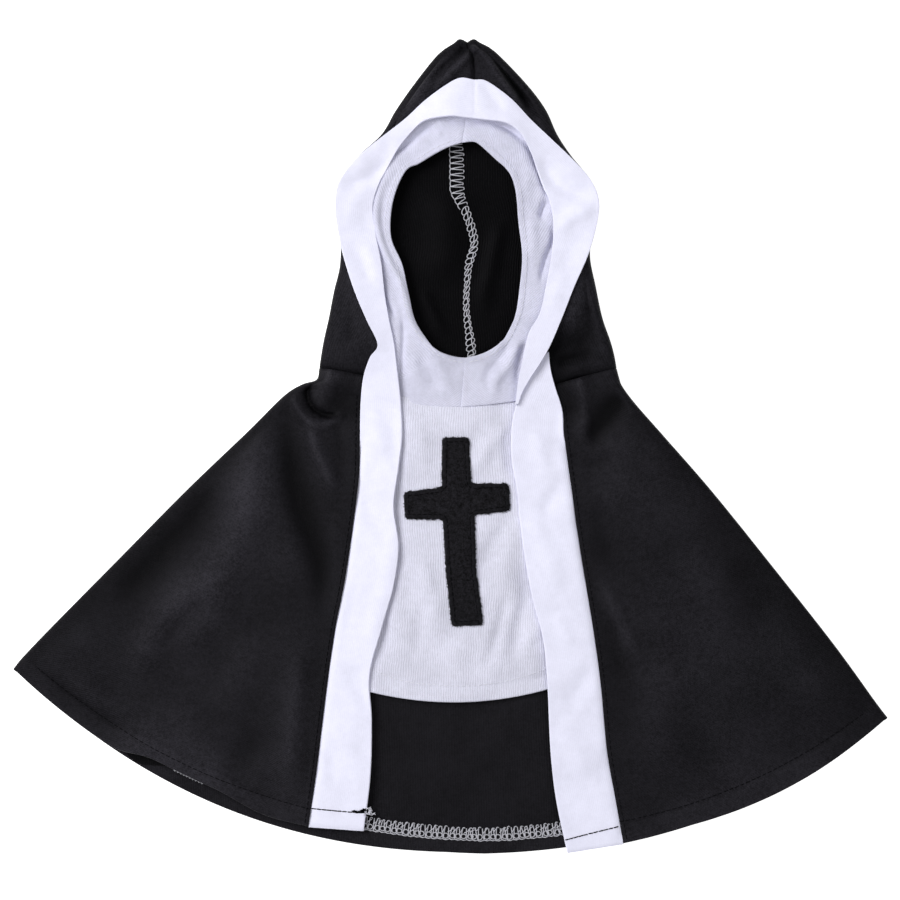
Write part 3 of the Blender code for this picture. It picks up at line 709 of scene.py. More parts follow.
def tangle(place, reach, tree, count, seed):
    """Strands of the knot at the end of a sewn line."""
    random = np.random.default_rng(seed)
    strands = []
    for _ in range(count):
        steps = place + random.normal(0, 1, 2) * reach + random.normal(0, 1, (5, 2)) * reach
        strands.append([])
        for x, y in steps:
            strands[-1].append((x, y, height_on(tree, x, y, 5.0) + 0.2 + 0.3 * random.uniform(0, 1)))
    return strands


def overlock(path, tree, pitch, lift, seed, ladder, looped=False):
    """Strands of a row of overlock stitches along a path of x, y and width.
    Each stitch forks from the needle line on one side to the edge of the row on the other. A ladder row also
    has rings and slanted strands over it. Where the row is narrow and looped is set, the thread lies in
    loose loops instead."""
    random = np.random.default_rng(seed)
    points, ahead = paced(path, pitch)
    aside = np.column_stack([ahead[:, 1], -ahead[:, 0]])
    strands = []

    def laid(places, wave):
        return [(x, y, height_on(tree, x, y, 1.0) + lift + rise) for (x, y), rise in zip(places, wave)]

    for k in range(len(points) - 1):
        here, there = points[k, :2], points[k + 1, :2]
        width = points[k, 2] / 2 * (1 + 0.12 * random.uniform(-1, 1))
        way, out = ahead[k] * pitch, aside[k]
        skew = random.uniform(-0.13, 0.13) * (2 if ladder else 1)
        if looped and points[k, 2] < LOOPED:
            turn = np.linspace(0, 2 * np.pi, 13) + skew * 4
            ring = [here + out * width * np.cos(a) + way * (0.5 + 0.62 * np.sin(a + 0.5)) for a in turn]
            strands.append(laid(ring, 0.15 + 0.2 * np.sin(turn)))
            strands.append(laid((here - out * width * 0.3, there + out * width * skew * 6), (0.3, 0.1)))
            continue
        needle, next_needle = here + out * width, there + aside[k + 1] * points[k + 1, 2] / 2
        for fork in (-0.28 + skew, 0.28 + skew):
            far = here - out * width + way * fork
            bend = (needle + far) / 2 + way * fork * 0.1
            fork_path = (needle, (needle + bend) / 2, bend, (bend + far) / 2, far)
            strands.append(laid(fork_path, (0.1, 0.3, 0.4, 0.3, 0.05)))
        bow = (needle + next_needle) / 2 + out * 0.35
        strands.append(laid((needle, bow, next_needle), (0.15, 0.3, 0.15)))
        low, high = here - out * width + way * (0.28 + skew), here - out * width + way * (0.72 + skew)
        strands.append(laid((low, (low + high) / 2 - out * 0.3, high), (0.05, 0.2, 0.05)))
        if ladder:
            turn = np.linspace(0, 2 * np.pi, 9)
            middle = here + out * width * 0.45 + way * (0.5 + skew)
            ring = [middle + out * width * 0.42 * np.cos(a) + way * 0.46 * np.sin(a) for a in turn]
            strands.append(laid(ring, 0.4 + 0.15 * np.sin(turn)))
            low = here - out * width * random.uniform(0.0, 0.3) - way * random.uniform(0.1, 0.5)
            high = here - out * width * random.uniform(0.75, 1.05) + way * random.uniform(0.1, 0.7)
            strands.append(laid((low, (low + high) / 2 + way * skew, high), (0.45, 0.6, 0.2)))
    return strands


class Value:
    """A number in a finish. Arithmetic on it adds the Math nodes."""

    def __init__(self, finish, socket):
        self.finish, self.socket = finish, socket

    def _with(self, operation, first, second=0.0):
        return self.finish.node("ShaderNodeMath", {"operation": operation}, {0: first, 1: second})

    def __add__(self, other):
        return self._with("ADD", self, other)

    __radd__ = __add__

    def __sub__(self, other):
        return self._with("SUBTRACT", self, other)

    def __rsub__(self, other):
        return self._with("SUBTRACT", other, self)

    def __mul__(self, other):
        return self._with("MULTIPLY", self, other)

    __rmul__ = __mul__

    def __truediv__(self, other):
        return self._with("DIVIDE", self, other)

    def wave(self):
        return self._with("SINE", self)

    def over(self, other):
        return self._with("GREATER_THAN", self, other)


class Finish:
    """A cloth or thread finish: one Principled shader and the nodes that vary it."""

    def __init__(self, name, **constants):
        self.material = bpy.data.materials.new(name)
        self.material.use_nodes = True
        self.tree = self.material.node_tree
        self.shader = self.tree.nodes["Principled BSDF"]
        for socket, value in constants.items():
            self.shader.inputs[socket.replace("_", " ")].default_value = value

    def node(self, kind, settings, inputs, output=0):
        made = self.tree.nodes.new(kind)
        for name, value in settings.items():
            setattr(made, name, value)
        for socket, value in inputs.items():
            if isinstance(value, Value):
                self.tree.links.new(value.socket, made.inputs[socket])
            else:
                made.inputs[socket].default_value = value
        return Value(self, made.outputs[output])

    def run(self):
        """How far across and along the cloth, in millimetres."""
        uv = self.node("ShaderNodeUVMap", {"uv_map": "cloth"}, {})
        parts = self.tree.nodes.new("ShaderNodeSeparateXYZ")
        self.tree.links.new(uv.socket, parts.inputs[0])
        return Value(self, parts.outputs[0]) * 1000, Value(self, parts.outputs[1]) * 1000

    def place(self):
        return self.node("ShaderNodeTexCoord", {}, {}, "Object")

    def height(self):
        """How high above the table, in millimetres."""
        parts = self.tree.nodes.new("ShaderNodeSeparateXYZ")
        self.tree.links.new(self.place().socket, parts.inputs[0])
        return Value(self, parts.outputs[2]) * 1000

    def noise(self, size, detail=2.0, roughness=0.5):
        """Cloudy noise from 0 to 1, with clouds of that size in millimetres."""
        return self.node(
            "ShaderNodeTexNoise",
            {"noise_dimensions": "3D"},
            {"Vector": self.place(), "Scale": 1000 / size, "Detail": detail, "Roughness": roughness},
        )

    def mix(self, share, first, second):
        return self.node("ShaderNodeMix", {"data_type": "RGBA"}, {0: share, 6: first, 7: second}, 2)

    def colour(self, value):
        self.tree.links.new(value.socket, self.shader.inputs["Base Color"])

    def roughness(self, value):
        self.tree.links.new(value.socket, self.shader.inputs["Roughness"])

    def bump(self, height, strength, distance):
        inputs = {"Strength": strength, "Distance": distance * MM, "Height": height}
        made = self.node("ShaderNodeBump", {}, inputs)
        self.tree.links.new(made.socket, self.shader.inputs["Normal"])


def shade(colour, k):
    """A lighter or darker colour, with its alpha."""
    return (*[min(part * k, 1.0) for part in colour], 1.0)


def black_cloth(name, gloss, low, high, inner):
    """Black jersey: fine ribs and a short nap. Its colour carries painted light and shade: grey on the crests
    of the folds, at the height high, and nearly black in the hollows, at the height low. Inner is how much
    that painted shade is lifted on the cloth lying on the table."""
    tint = (0.93, 0.90, 1.0, 1.0)
    cloth = Finish(name, Specular_IOR_Level=gloss, Specular_Tint=tint, Sheen_Weight=0.02, Sheen_Roughness=0.3)
    u, v = cloth.run()
    drift = (cloth.noise(6.0) - 0.5) * 0.8
    rib = ((u + drift) * (2 * np.pi / 1.25)).wave()
    course = ((v + drift + rib * 0.15) * (2 * np.pi / 0.9)).wave()
    nap, cloud, fuzz = cloth.noise(1.0, 3.0, 0.75), cloth.noise(24.0, 2.0), cloth.noise(2.6, 2.0)
    grain = (nap - 0.5) * 2.6 + (fuzz - 0.5) * 0.9 + (cloud - 0.5) * 0.9 + rib * 0.12 + course * 0.05
    # Painted light and shade: the colour goes from nearly black in the hollows to grey on the crests of the
    # folds, by height, standing in for the light on the folds; cloth on the table is lifted by inner.
    height = cloth.height()
    painted_light_share = (height - low) / (high - low) + (1 - height.over(ON_TABLE)) * inner
    flat_nap_and_painted_shade = cloth.mix(painted_light_share, shade(NAP_BLACK_AND_PAINTED_SHADE, 0.5), shade(NAP_GREY_AND_PAINTED_LIGHT, 0.45))
    raised_nap_and_painted_shade = cloth.mix(painted_light_share, shade(NAP_BLACK_AND_PAINTED_SHADE, 1.5), shade(NAP_GREY_AND_PAINTED_LIGHT, 1.55))
    cloth.colour(cloth.mix(grain + 0.5, flat_nap_and_painted_shade, raised_nap_and_painted_shade))
    cloth.roughness(0.5 + (nap - 0.5) * 0.3)
    cloth.bump(rib * 0.35 + course * 0.2 + nap * 2.0 + fuzz * 0.8, 0.6, 0.2)
    return cloth.material


def black_felt(name):
    """The cross's woolly black cloth, with grey where the wool stands up."""
    cloth = Finish(name, Specular_IOR_Level=0.08, Sheen_Weight=0.05, Sheen_Roughness=0.4)
    nap, fuzz, worn = cloth.noise(0.8, 4.0, 0.8), cloth.noise(2.2, 3.0, 0.6), cloth.noise(0.7, 1.0)
    wool = (nap - 0.5) * 2.4 + (fuzz - 0.5) * 1.2 + 0.4
    cloth.colour(cloth.mix(wool, shade(NAP_BLACK_AND_PAINTED_SHADE, 0.6), shade(NAP_GREY_AND_PAINTED_LIGHT, 1.1)))
    cloth.roughness(0.85 - worn * 0.1)
    cloth.bump(nap * 2.5 + fuzz * 2.0, 0.8, 0.25)
    return cloth.material


def smooth_white(name, colour):
    """The strip's smooth cotton jersey: very fine wales and a soft handle."""
    cloth = Finish(name, Specular_IOR_Level=0.25, Sheen_Weight=0.1, Sheen_Roughness=0.5)
    u = cloth.run()[0]
    drift = (cloth.noise(5.0) - 0.5) * 0.6
    wale = ((u + drift) * (2 * np.pi / 0.95)).wave()
    nap, cloud, patch = cloth.noise(0.9, 3.0, 0.6), cloth.noise(17.0, 3.0), cloth.noise(4.0, 2.0)
    grain = (nap - 0.5) * 0.9 + (cloud - 0.5) * 1.3 + (patch - 0.5) * 0.9 + wale * 0.06
    cloth.colour(cloth.mix(grain + 0.5, shade(colour, 0.93), shade(colour, 1.05)))
    cloth.roughness(0.8 + (nap - 0.5) * 0.1)
    cloth.bump(wale * 0.3 + nap * 0.8 + patch * 1.5 + cloud * 3.0, 0.45, 0.12)
    return cloth.material


def rib_white(name, colour, pitch, lean, depth, waver):
    """White rib knit with a short nap. Pitch is the width of a rib, and lean turns the ribs away from the run
    of the cloth. Depth is how strongly they show and waver how far they wander."""
    cloth = Finish(name, Specular_IOR_Level=0.2, Sheen_Weight=0.12, Sheen_Roughness=0.5)
    u, v = cloth.run()
    drift = (cloth.noise(7.0) - 0.5) * waver
    rib = ((u * np.cos(lean) + v * np.sin(lean) + drift) * (2 * np.pi / pitch)).wave()
    course = ((v * np.cos(lean) - u * np.sin(lean) + drift) * (2 * np.pi / 0.9)).wave()
    nap, cloud, tuft = cloth.noise(0.8, 3.0, 0.7), cloth.noise(15.0, 3.0), cloth.noise(2.4, 2.0)
    mesh = rib * course
    grain = (nap - 0.5) * 1.0 + (tuft - 0.5) * 0.9 + (cloud - 0.5) * 1.6 + rib * 0.4 * depth + mesh * 0.2
    cloth.colour(cloth.mix(grain + 0.5, shade(colour, 0.84), shade(colour, 1.06)))
    cloth.roughness(0.88 + (nap - 0.5) * 0.1)
    cloth.bump(rib * 0.8 * depth + mesh * 0.35 + nap * 1.2 + tuft * 0.9, 0.5, 0.2)
    return cloth.material


def thread_finish(name, colour, bloom):
    """Spun thread, with its plies as a fine grain."""
    thread = Finish(name, Specular_IOR_Level=bloom / 2, Sheen_Weight=bloom, Sheen_Roughness=0.4)
    ply = thread.noise(0.35, 2.0, 0.6)
    thread.colour(thread.mix(ply, shade(colour, 0.8), shade(colour, 1.15)))
    thread.roughness(0.7 + (ply - 0.5) * 0.2)
    thread.bump(ply, 0.5, 0.08)
    return thread.material


def place_piece(piece, node):
    """Puts a finished piece of cloth in the place of its solid."""
    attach(piece, "root")
    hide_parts(node)


def over_front(y):
    """1 where the black front's edge lies over the strip, and 0 at the neck, where it passes under it."""
    return 1 - smooth((y - 8) / 11)


def black_front(band, y):
    """The black front's edge at that y, worked out from the strip's own sections."""
    over = over_front(y)
    point = edge_at(band, y, BLACK_LAP * smooth((y - 18) / 11))
    point[2] += BLACK_RISE * over - BLACK_DROP * (1 - over)
    return point


def cape_section(row):
    """One section of the cape, from its left front edge round the back to its right front edge."""
    y_l, y_r, top, bow, thick = row[0], row[7], row[8], row[9], row[10]
    front_l, front_r = black_front(FRONT_LEFT_WHOLE, y_l), black_front(BAND_FRONT_RIGHT, y_r)
    covered = 3 + 6 * (1 - over_front(y_l))
    folds = (front_l, row[1:3], row[3:5], row[5:7], front_r)
    left, right = folded_section(*folds, top, thick, bow, FRONT_PUFF, CAPE_COLUMNS, covered)
    return np.concatenate([left, right[-2::-1]])


def both_halves(weight):
    """A weight over the columns of one half of the cape, mirrored on to the other half."""
    return np.concatenate([weight, weight[-2::-1]])[None, :]


def bow_hem(grid, to_hem, weight):
    """Bows the hem out in two stretches. The fronts stay as they are between x -172 and 120, apart from
    half a bow round x -97."""
    x = grid[:, :, 0]
    bow = np.zeros(x.shape)
    for depth, start, end in HEM_BOWS:
        bow += depth * np.sin(np.pi * np.clip((x - start) / (end - start), 0, 1))
    front = weight * smooth((x + 172) / 20) * smooth((120 - x) / 20)
    front *= 1 - 0.5 * np.exp(-(((x + 97) / 17) ** 2))
    bow *= smooth((60 - to_hem) / 60) * (1 - front)
    away = grid[:, :, :2] - CENTRE
    grid[:, :, :2] += bow[:, :, None] * away / np.linalg.norm(away, axis=2)[:, :, None]


def lift_hem(grid, to_hem, weight):
    """Draws the left front's hem back and up, so that the back shows below it."""
    x = grid[:, :, 0]
    lifted = smooth((x + 168) / 22) * smooth((-84 - x) / 35) * weight * smooth((45 - to_hem) / 40)
    grid += lifted[:, :, None] * HEM_LIFT


def make_cape(finish):
    """The cape, and the edge of its left front's hem."""
    places = spread(CAPE_STEPS)
    rows = through(CAPE, places)
    rows[:, 10] = JERSEY + (HEM - JERSEY) * smooth((places - 7.9) / 0.2)  # the turned hem starts sharply
    grid = np.array([cape_section(row) for row in rows])
    weight = both_halves(front_weight(CAPE_COLUMNS))
    edges = [np.linalg.norm(grid - grid[:, at : at + 1], axis=2) for at in (0, grid.shape[1] - 1)]
    inland = smooth((np.minimum(*edges) - 2) / 12)
    lay_folds(grid, CAPE_FOLDS, FOLD_RAISE * weight * inland, (0.5, 0.12), 3)
    kept = grid.copy()
    keep_above(kept, CAPE_LEAST)
    grid += (kept - grid) * weight[:, :, None]
    to_hem = np.linalg.norm(grid - grid[-1][None], axis=2)
    grid[:, :, 2] -= HEM_GROOVE * np.exp(-(((to_hem - HEM_WIDTH) / 0.9) ** 2)) * weight
    bow_hem(grid, to_hem, weight)
    lift_hem(grid, to_hem, weight)
    wave = np.maximum(lumps(grid[:, :, 0], grid[:, :, 1], 30, 12), 0)
    grid[:, :, 2] += 0.35 * wave * both_halves(back_weight(CAPE_COLUMNS))
    dip_edge(grid, 0, 0.9, 1.2)
    left_hem = grid[-1, : CAPE_COLUMNS[0]].copy()
    return shell("cape", grid, rows[:, 10:11], finish, base=sum(CAPE_COLUMNS)), left_hem


def hood_front(rows):
    """The hood's front edge, under the strip, from the strip's own sections."""
    rows = np.array(rows)
    outer, inner = rows[:, (0, 1, 4)], rows[:, (2, 3, 5)]
    front = outer + (inner - outer) * BLACK_LAP
    front[:, 2] = outer[:, 2] - HOOD_DROP
    return front


def make_hood(finish):
    """The hood's two panels."""
    per_row = 9
    front_l = sampled(hood_front(BAND_HOOD_LEFT), per_row)
    neck = (*BAND_FRONT_RIGHT[-3:-1], BLACK_UNDER_TWIST)
    front_r = sampled(hood_front(neck + BAND_HOOD_RIGHT[-2::-1] + BAND_HOOD_LEFT[-1:]), per_row)
    rows = through(HOOD, spread([per_row] * (len(HOOD) - 4) + [3, 3, 3]))
    halves = ([], [])
    for f_l, f_r, row in zip(front_l, front_r, rows):
        folds = (f_l, row[0:2], row[2:4], row[4:6], f_r)
        sides = folded_section(*folds, row[6], JERSEY, 0.0, 0.3, HOOD_COLUMNS, 7.0)
        for half, side in zip(halves, sides):
            half.append(side)
    made = []
    for name, half in (("hood_left", halves[0]), ("hood_right", halves[1])):
        grid = np.array(half)
        lay_folds(grid, HOOD_FOLDS, front_weight(HOOD_COLUMNS)[None, :], (0.3, 0.12), 7)
        rise = np.maximum(fold_height(grid[:, :, :2].reshape(-1, 2), HOOD_INSIDE), 0).reshape(grid.shape[:2])
        grid[:, :, 2] += rise * back_weight(HOOD_COLUMNS)[None, :]
        dip_edge(grid, 0, 0.9, 1.2)
        dip_edge(grid, -1, 0.8, 1.0)
        x, y = grid[:, :, 0], grid[:, :, 1]  # the seam leans to the right at the crown
        lean = np.exp(-(((x - 8.5) / 7) ** 2)) * np.sin(np.pi * np.clip((y - 173) / 28, 0, 1))
        grid[:, :, 0] += 3.0 * lean * front_weight(HOOD_COLUMNS)[None, :]
        made.append(shell(name, grid, JERSEY, finish, base=sum(HOOD_COLUMNS)))
    return made


def strip_grid(rows, per_row, columns):
    """The strip's middle surface and thickness. On the fronts its outer edge runs on under the black, and it
    is a little thicker at its inner edge, where it is folded."""
    rows = sampled(rows, per_row)
    outer, inner = rows[:, (0, 1, 4)].copy(), rows[:, (2, 3, 5)]
    out = outer[:, :2] - inner[:, :2]
    width = np.hypot(*out.T)
    tuck = (1 - smooth((outer[:, 1] + 6) / 12)) * smooth(np.hypot(*(outer[:, :2] - outer[0, :2]).T) / 9)
    outer[:, :2] += out / width[:, None] * (TUCK * tuck)[:, None]
    even = np.linspace(0, 1, columns + 1)
    share = 0.6 * even + 0.4 * (0.5 - 0.5 * np.cos(np.pi * even))  # closer together at both edges
    grid = outer[:, None] + (inner - outer)[:, None] * share[None, :, None]
    reach = share[None, :] * (width + TUCK * tuck)[:, None]
    grid[:, :, 2] -= DIP * tuck[:, None] * (1 - smooth(reach / DIP_REACH))
    thick = STRIP + 0.3 * np.exp(-(((1 - share)[None, :] * width[:, None] / 3.0) ** 2))
    return grid, thick


def make_strip(name, rows, folds, finish, per_row, seed):
    grid, thick = strip_grid(rows, per_row, 24)
    lay_folds(grid, folds, 1.0, (0.45, 0.24), seed)
    return shell(name, grid, thick, finish)


def make_coif(name, band_rows, face_rows, chin_rows, finish, side):
    """Half of the coif, from the chin seam round to the top seam, each section from outside to the face."""
    band, face = np.array(band_rows), np.array(face_rows)
    outer = band[:, (0, 1, 4)] + (band[:, (2, 3, 5)] - band[:, (0, 1, 4)]) * WHITE_LAP
    outer[:, 2] -= WHITE_DROP
    rows = sampled(np.concatenate([np.array(chin_rows), np.column_stack([outer, face])]), 9)
    share = np.linspace(0, 1, 29)
    grid = rows[:, None, :3] + (rows[:, None, 3:] - rows[:, None, :3]) * share[None, :, None]
    lay_folds(grid, COIF_FOLDS, smooth(share / 0.12)[None, :], (0.3, 0.2), 21)
    keep_above(grid, COIF_LEAST)
    width = np.linalg.norm(rows[:, :3] - rows[:, 3:], axis=1)
    thick = KNIT + (RIM - KNIT) * smooth(1 - ((1 - share)[None, :] * width[:, None] - 2.0) / 1.5)
    dip_edge(grid, 0, 0.2, 1.0)
    dip_edge(grid, -1, 0.4, 1.0)
    grid[:2, :, 0] -= np.array([0.7, 0.3])[:, None] * side
    grid[0, :, 2] += 0.25 * side
    grid[-1, :, 0] -= side * 0.3
    return shell(name, grid, thick, finish), grid


def bib_side(band, y):
    point = edge_at(band, y, WHITE_LAP)
    point[2] -= BIB_DROP
    return point


def make_bib(finish):
    share = np.linspace(0, 1, 97)
    sections = []
    for y_l, y_r, dip in through(BIB, spread((4, 30, 40, 40, 30))):
        left, right = bib_side(FRONT_LEFT_WHOLE, y_l), bib_side(BAND_FRONT_RIGHT, y_r)
        plan = bowed(left[:2], right[:2], dip, share)
        height = left[2] + (right[2] - left[2]) * share + BIB_SWELL * np.sin(np.pi * share)
        sections.append(np.column_stack([plan, height]))
    grid = np.array(sections)
    lay_folds(grid, BIB_FOLDS, smooth(np.minimum(share, 1 - share) / 0.1)[None, :], (0.8, 0.3), 31)
    keep_above(grid, BIB_LEAST)
    dip_edge(grid, 0, 1.2, 3.4)
    to_hem = np.linalg.norm(grid - grid[-1][None], axis=2)
    thick = KNIT + 0.7 * smooth((7.0 - to_hem) / 1.5)
    return shell("bib", grid, thick, finish, base=48)


def rounded_outline(corners, radius):
    """A closed outline with its corners rounded."""
    corners = np.array(corners, float)
    points = []
    for k, corner in enumerate(corners):
        before, after = corners[k - 1] - corner, corners[(k + 1) % len(corners)] - corner
        start = corner + before / np.hypot(*before) * radius
        end = corner + after / np.hypot(*after) * radius
        for t in np.linspace(0, 1, 6):
            points.append(start * (1 - t) ** 2 + 2 * corner * t * (1 - t) + end * t * t)
        reach = corners[(k + 1) % len(corners)] - after / np.hypot(*after) * radius
        for t in np.linspace(0, 1, 14)[1:-1]:
            points.append(end + (reach - end) * t)
    return np.array(points)


def inside_outline(xy, outline):
    """How far inside the outline each point lies (below 0 is outside), and the nearest place on it."""
    start, step = outline, np.roll(outline, -1, axis=0) - outline
    away = xy[:, None] - start[None]
    share = np.clip((away * step).sum(axis=2) / (step**2).sum(axis=1), 0, 1)
    gap = away - share[:, :, None] * step
    distance = np.hypot(gap[:, :, 0], gap[:, :, 1])
    nearest = distance.argmin(axis=1)
    rows = np.arange(len(xy))
    spans = (start[None, :, 1] > xy[:, None, 1]) != (start[None, :, 1] + step[None, :, 1] > xy[:, None, 1])
    rise = np.where(step[:, 1] == 0, 1e-9, step[:, 1])
    crossing = start[:, 0] + (xy[:, None, 1] - start[None, :, 1]) / rise * step[:, 0]
    inside = (spans & (crossing > xy[:, None, 0])).sum(axis=1) % 2 == 1
    place = start[nearest] + share[rows, nearest][:, None] * step[nearest]
    return np.where(inside, 1, -1) * distance[rows, nearest], place


def make_cross(finish, bib):
    """The cross: a patch cut to its outline, its edge turned under and sewn down on the bib. Also gives the
    line of its stitches and its uneven edge."""
    line = rounded_outline(CROSS, CROSS_CORNER)
    outline = paced(np.concatenate([line, line[:1]]), 0.8)[0]
    outline = outline + np.random.default_rng(8).uniform(-0.3, 0.3, outline.shape)
    x, y = np.meshgrid(np.arange(-25.5, 32, CROSS_STEP), np.arange(7, -93, -CROSS_STEP))
    flat = np.column_stack([x.ravel(), y.ravel()])
    depth, place = inside_outline(flat, outline)
    depth = depth.reshape(x.shape)
    inner = depth > 0
    keep = inner[:-1, :-1] & inner[1:, :-1] & inner[1:, 1:] & inner[:-1, 1:]
    padded = np.pad(keep, 1)
    cells = padded[:-1, :-1].astype(int) + padded[1:, :-1] + padded[:-1, 1:] + padded[1:, 1:]
    rim = (cells > 0) & (cells < 4)
    flat = np.where(rim.ravel()[:, None], place, flat)
    depth = np.where(rim, 0, depth)
    tree = tree_of(bib)
    base = np.array([height_on(tree, px, py, 5.0) for px, py in flat]).reshape(x.shape)
    swell = 0.55 * np.exp(-(((depth - 1.0) / 0.8) ** 2)) - 0.35 * np.exp(-(((depth - 2.2) / 0.5) ** 2))
    swell += (0.3 * lumps(x, y, 5, 41) + 0.14 * lumps(x, y, 1.7, 42)) * smooth(depth / 2)
    swell += fold_height(flat, CROSS_FOLDS).reshape(x.shape)
    thick = PATCH * np.where(rim, 0.35, 1.0)
    grid = np.dstack([flat.reshape(*x.shape, 2), base + 0.25 + PATCH / 2 + swell - 0.25 * rim])
    patch = shell("cross", grid, thick, finish, keep=keep, rims=False)
    return patch, line + inward_of(line) * CROSS_INSET, outline


def inward_of(outline):
    """The way inward at each point of a clockwise outline."""
    ahead = np.roll(outline, -2, axis=0) - np.roll(outline, 2, axis=0)
    inward = np.column_stack([ahead[:, 1], -ahead[:, 0]])
    return inward / np.linalg.norm(inward, axis=1, keepdims=True)


def frayed(outline, tree, seed):
    """Strands of short loose fibres all round a cut edge."""
    random = np.random.default_rng(seed)
    outward = -inward_of(outline)
    strands = []
    for k in random.integers(0, len(outline), 700):
        share = random.uniform(0, 1)
        start = outline[k] * (1 - share) + outline[(k + 1) % len(outline)] * share - outward[k] * 0.3
        way = outward[k] + random.uniform(-0.9, 0.9, 2)
        way /= np.hypot(*way)
        length = random.uniform(0.35, 0.95)
        height = height_on(tree, *start, 5.0) - random.uniform(0.1, 0.5)
        curl = np.array([-way[1], way[0]]) * random.uniform(-0.25, 0.25)
        strands.append([
            (*start, height),
            (*(start + way * length * 0.5 + curl), height + 0.08),
            (*(start + way * length), height - 0.1),
        ])  # fmt: skip
    return strands


def make_floor():
    """The pale table that the habit lies on."""
    bpy.ops.object.select_all(action="DESELECT")
    bpy.ops.mesh.primitive_plane_add(size=6, location=(0, 0, -0.0003))
    floor = bpy.context.active_object
    floor.name = "floor"
    top = Finish("pale_table", Roughness=0.95, Specular_IOR_Level=0.1)
    cloud = top.noise(400.0)
    top.colour(top.mix(cloud, (0.93, 0.93, 0.93, 1), (0.95, 0.95, 0.95, 1)))
    top.shader.inputs["Emission Color"].default_value = (1, 1, 1, 1)
    top.shader.inputs["Emission Strength"].default_value = 0.8
    floor.data.materials.append(top.material)


def area_light(name, place, size, watts):
    """A square light that points at the middle of the habit."""
    light = bpy.data.lights.new(name, "AREA")
    light.size = size
    light.energy = watts
    made = bpy.data.objects.new(name, light)
    made.location = place
    made.rotation_euler = (-Vector(place)).to_track_quat("-Z", "Y").to_euler()
    bpy.context.scene.collection.objects.link(made)


def set_stage():
    """The camera straight above, a soft bright room, a lamp at the upper left and a weaker one."""
    scene = bpy.context.scene
    camera = bpy.data.objects.new("camera", bpy.data.cameras.new("camera"))
    camera.data.lens = 135
    camera.data.sensor_width = 36
    height = VIEW_WIDTH * camera.data.lens / camera.data.sensor_width
    camera.location = (*VIEW_CENTRE, height)
    camera.data.clip_end = 20
    scene.collection.objects.link(camera)
    scene.camera = camera
    world = bpy.data.worlds.new("soft_room")
    world.use_nodes = True
    world.node_tree.nodes["Background"].inputs["Color"].default_value = (1, 1, 1, 1)
    world.node_tree.nodes["Background"].inputs["Strength"].default_value = 0.34
    scene.world = world
    scene.view_settings.view_transform = "Standard"
    area_light("key", (-0.95, 0.45, 1.1), 0.8, 21)
    area_light("fill", (0.7, -0.6, 1.3), 1.0, 5.0)
    make_floor()


def hem_stitches(left_hem):
    """Strands of the overlock along the back's hem, and of the short row that peeps out at the left."""
    hem = cape_section(through(CAPE, [HEM_LINE])[0])
    side = sum(CAPE_COLUMNS[:2])
    row = [(x, y, HEM_ROW) for x, y, z in hem[side : len(hem) - 1 - side : 7]]
    level = HEM * MM
    corners = [(-1, -1, level), (1, -1, level), (1, 1, level), (-1, 1, level)]
    strands = overlock(row, BVHTree.FromPolygons(corners, [(0, 1, 2, 3)]), STITCH, THREAD, 72, True)
    shown = left_hem[(left_hem[:, 0] > PEEP[0]) & (left_hem[:, 0] < PEEP[1])]
    away = (shown[:, :2] - CENTRE) / np.linalg.norm(shown[:, :2] - CENTRE, axis=1)[:, None]
    peeping = sampled(np.column_stack([shown[:, :2] + away * 0.7, np.full(len(shown), 2.9)]), 4)
    peeping[:, 1] += 0.35 * (-1.0) ** np.arange(len(peeping))
    return [*strands, peeping]


def front_stitches(on_cape):
    """Strands of the topstitching along the fronts' hems and beside the strip."""
    hem = cape_section(through(CAPE, [HEM_LINE])[0])
    front = CAPE_COLUMNS[0] - 1
    strands = running(hem[:front:4], on_cape) + running(hem[::-1][:front:4], on_cape)
    for band, low, high in ((FRONT_LEFT_WHOLE, -188, 24), (BAND_FRONT_RIGHT, -196, 20)):
        beside = []
        for y in np.linspace(low, high, 16):
            x = edge_at(band, y, 0)[0]
            beside.append((x + np.sign(x) * 2.0, y))
        strands += running(beside, on_cape)
    return strands


def rim_stitches_on(coif, ring):
    """Strands of the stitching beside the coif's face edge."""
    edge, beside = ring[2:-2:9, -1, :2], ring[2:-2:9, -2, :2]
    inward = beside - edge
    path = edge + inward / np.linalg.norm(inward, axis=1, keepdims=True) * 2.6
    return running(path, tree_of(coif), 2.8, 2.2)


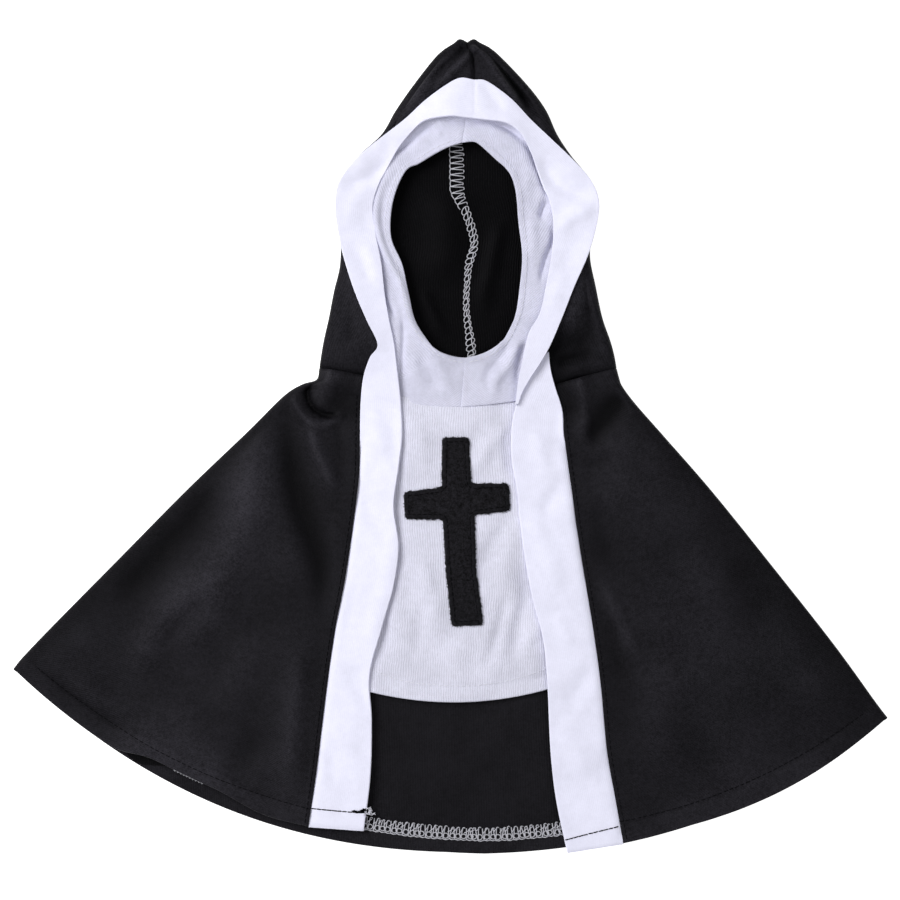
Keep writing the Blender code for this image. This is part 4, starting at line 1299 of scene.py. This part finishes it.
def main():
    # Both black jerseys get painted light and shade by height, between their low and high heights; the hood's
    # low height is higher, so the inside of the hood is painted nearly black as painted shade.
    black = black_cloth("black_jersey", 0.08, 3.0, 9.4, 0.6)
    hood_black = black_cloth("black_hood_jersey", 0.05, 3.6, 9.8, 0.0)
    felt = black_felt("black_felt")
    white = smooth_white("white_band", (0.785, 0.785, 0.93))
    ribbed = rib_white("white_rib_knit", (0.69, 0.69, 0.81), 1.2, 0.0, 0.8, 2.2)
    slanted = rib_white("white_coif_knit", (0.65, 0.65, 0.79), 1.1, 0.65, 0.75, 1.6)
    woolly = thread_finish("white_thread", (0.52, 0.52, 0.57), 0.25)
    cotton = thread_finish("white_cotton", (0.72, 0.72, 0.80), 0.2)
    dark = thread_finish("black_thread", (0.003, 0.003, 0.0035), 0.0)

    cape, left_hem = make_cape(black)
    hood_left, hood_right = make_hood(hood_black)
    whole = BAND_FRONT_LEFT + BAND_HOOD_LEFT + BAND_HOOD_RIGHT + BAND_TWIST
    band = make_strip("band", whole, STRIP_FOLDS, white, 9, 51)
    band_right = make_strip("band_right", BAND_FRONT_RIGHT, STRIP_RIGHT_FOLDS, white, 11, 61)
    coif_left, ring_left = make_coif("coif_left", BAND_HOOD_LEFT[2:], FACE_LEFT, CHIN_LEFT, slanted, -1)
    right_rows = BAND_HOOD_RIGHT[::-1] + BAND_HOOD_LEFT[-1:]
    coif_right, ring_right = make_coif("coif_right", right_rows, FACE_RIGHT, CHIN_RIGHT, slanted, 1)
    bib = make_bib(ribbed)
    cross, cross_line, cross_edge = make_cross(felt, bib)

    on_band, on_cross = tree_of(band), tree_of(cross)
    hood_row = overlock(HOOD_SEAM, tree_of(hood_left, hood_right), STITCH, THREAD, 71, False, True)
    hood_loops = sew("hood_overlock", hood_row, THREAD, woolly)
    hem_loops = sew("hem_overlock", hem_stitches(left_hem), THREAD, woolly)
    topstitch = sew("topstitch", front_stitches(tree_of(cape)), FINE_THREAD, dark)
    ends = running(END_LEFT, on_band, 2.6, 2.3, 0.15, 6)
    ends += running(END_RIGHT, tree_of(band_right), 2.6, 2.3, 0.15, 9) + tangle(*END_KNOT, on_band, 8, 15)
    end_stitches = sew("end_stitches", ends, THICK_THREAD, dark)
    loose_end = sew("loose_end", tangle(*LOOSE_END, on_band, 9, 21), FINE_THREAD, cotton)
    bib_line = running(BIB_HEM, tree_of(bib), 2.8, 2.2)
    bib_stitches = sew("bib_stitches", bib_line, FINE_THREAD, cotton)
    cross_row = running(np.concatenate([cross_line, cross_line[:1]]), on_cross, 2.6, 2.0)
    cross_stitches = sew("cross_stitches", cross_row, FINE_THREAD, dark)
    fibres = sew("cross_fray", frayed(cross_edge, on_cross, 77), FIBRE, dark, 4)
    rim = rim_stitches_on(coif_left, ring_left) + rim_stitches_on(coif_right, ring_right)
    rim_stitches = sew("rim_stitches", rim, FINE_THREAD, cotton)

    place_piece(cape, "cape")
    place_piece(hood_left, "hood_left")
    place_piece(hood_right, "hood_right")
    place_piece(band, "band")
    place_piece(band_right, "band_right")
    place_piece(coif_left, "coif_left")
    place_piece(coif_right, "coif_right")
    place_piece(bib, "bib")
    place_piece(cross, "cross")

    set_stage()


main()
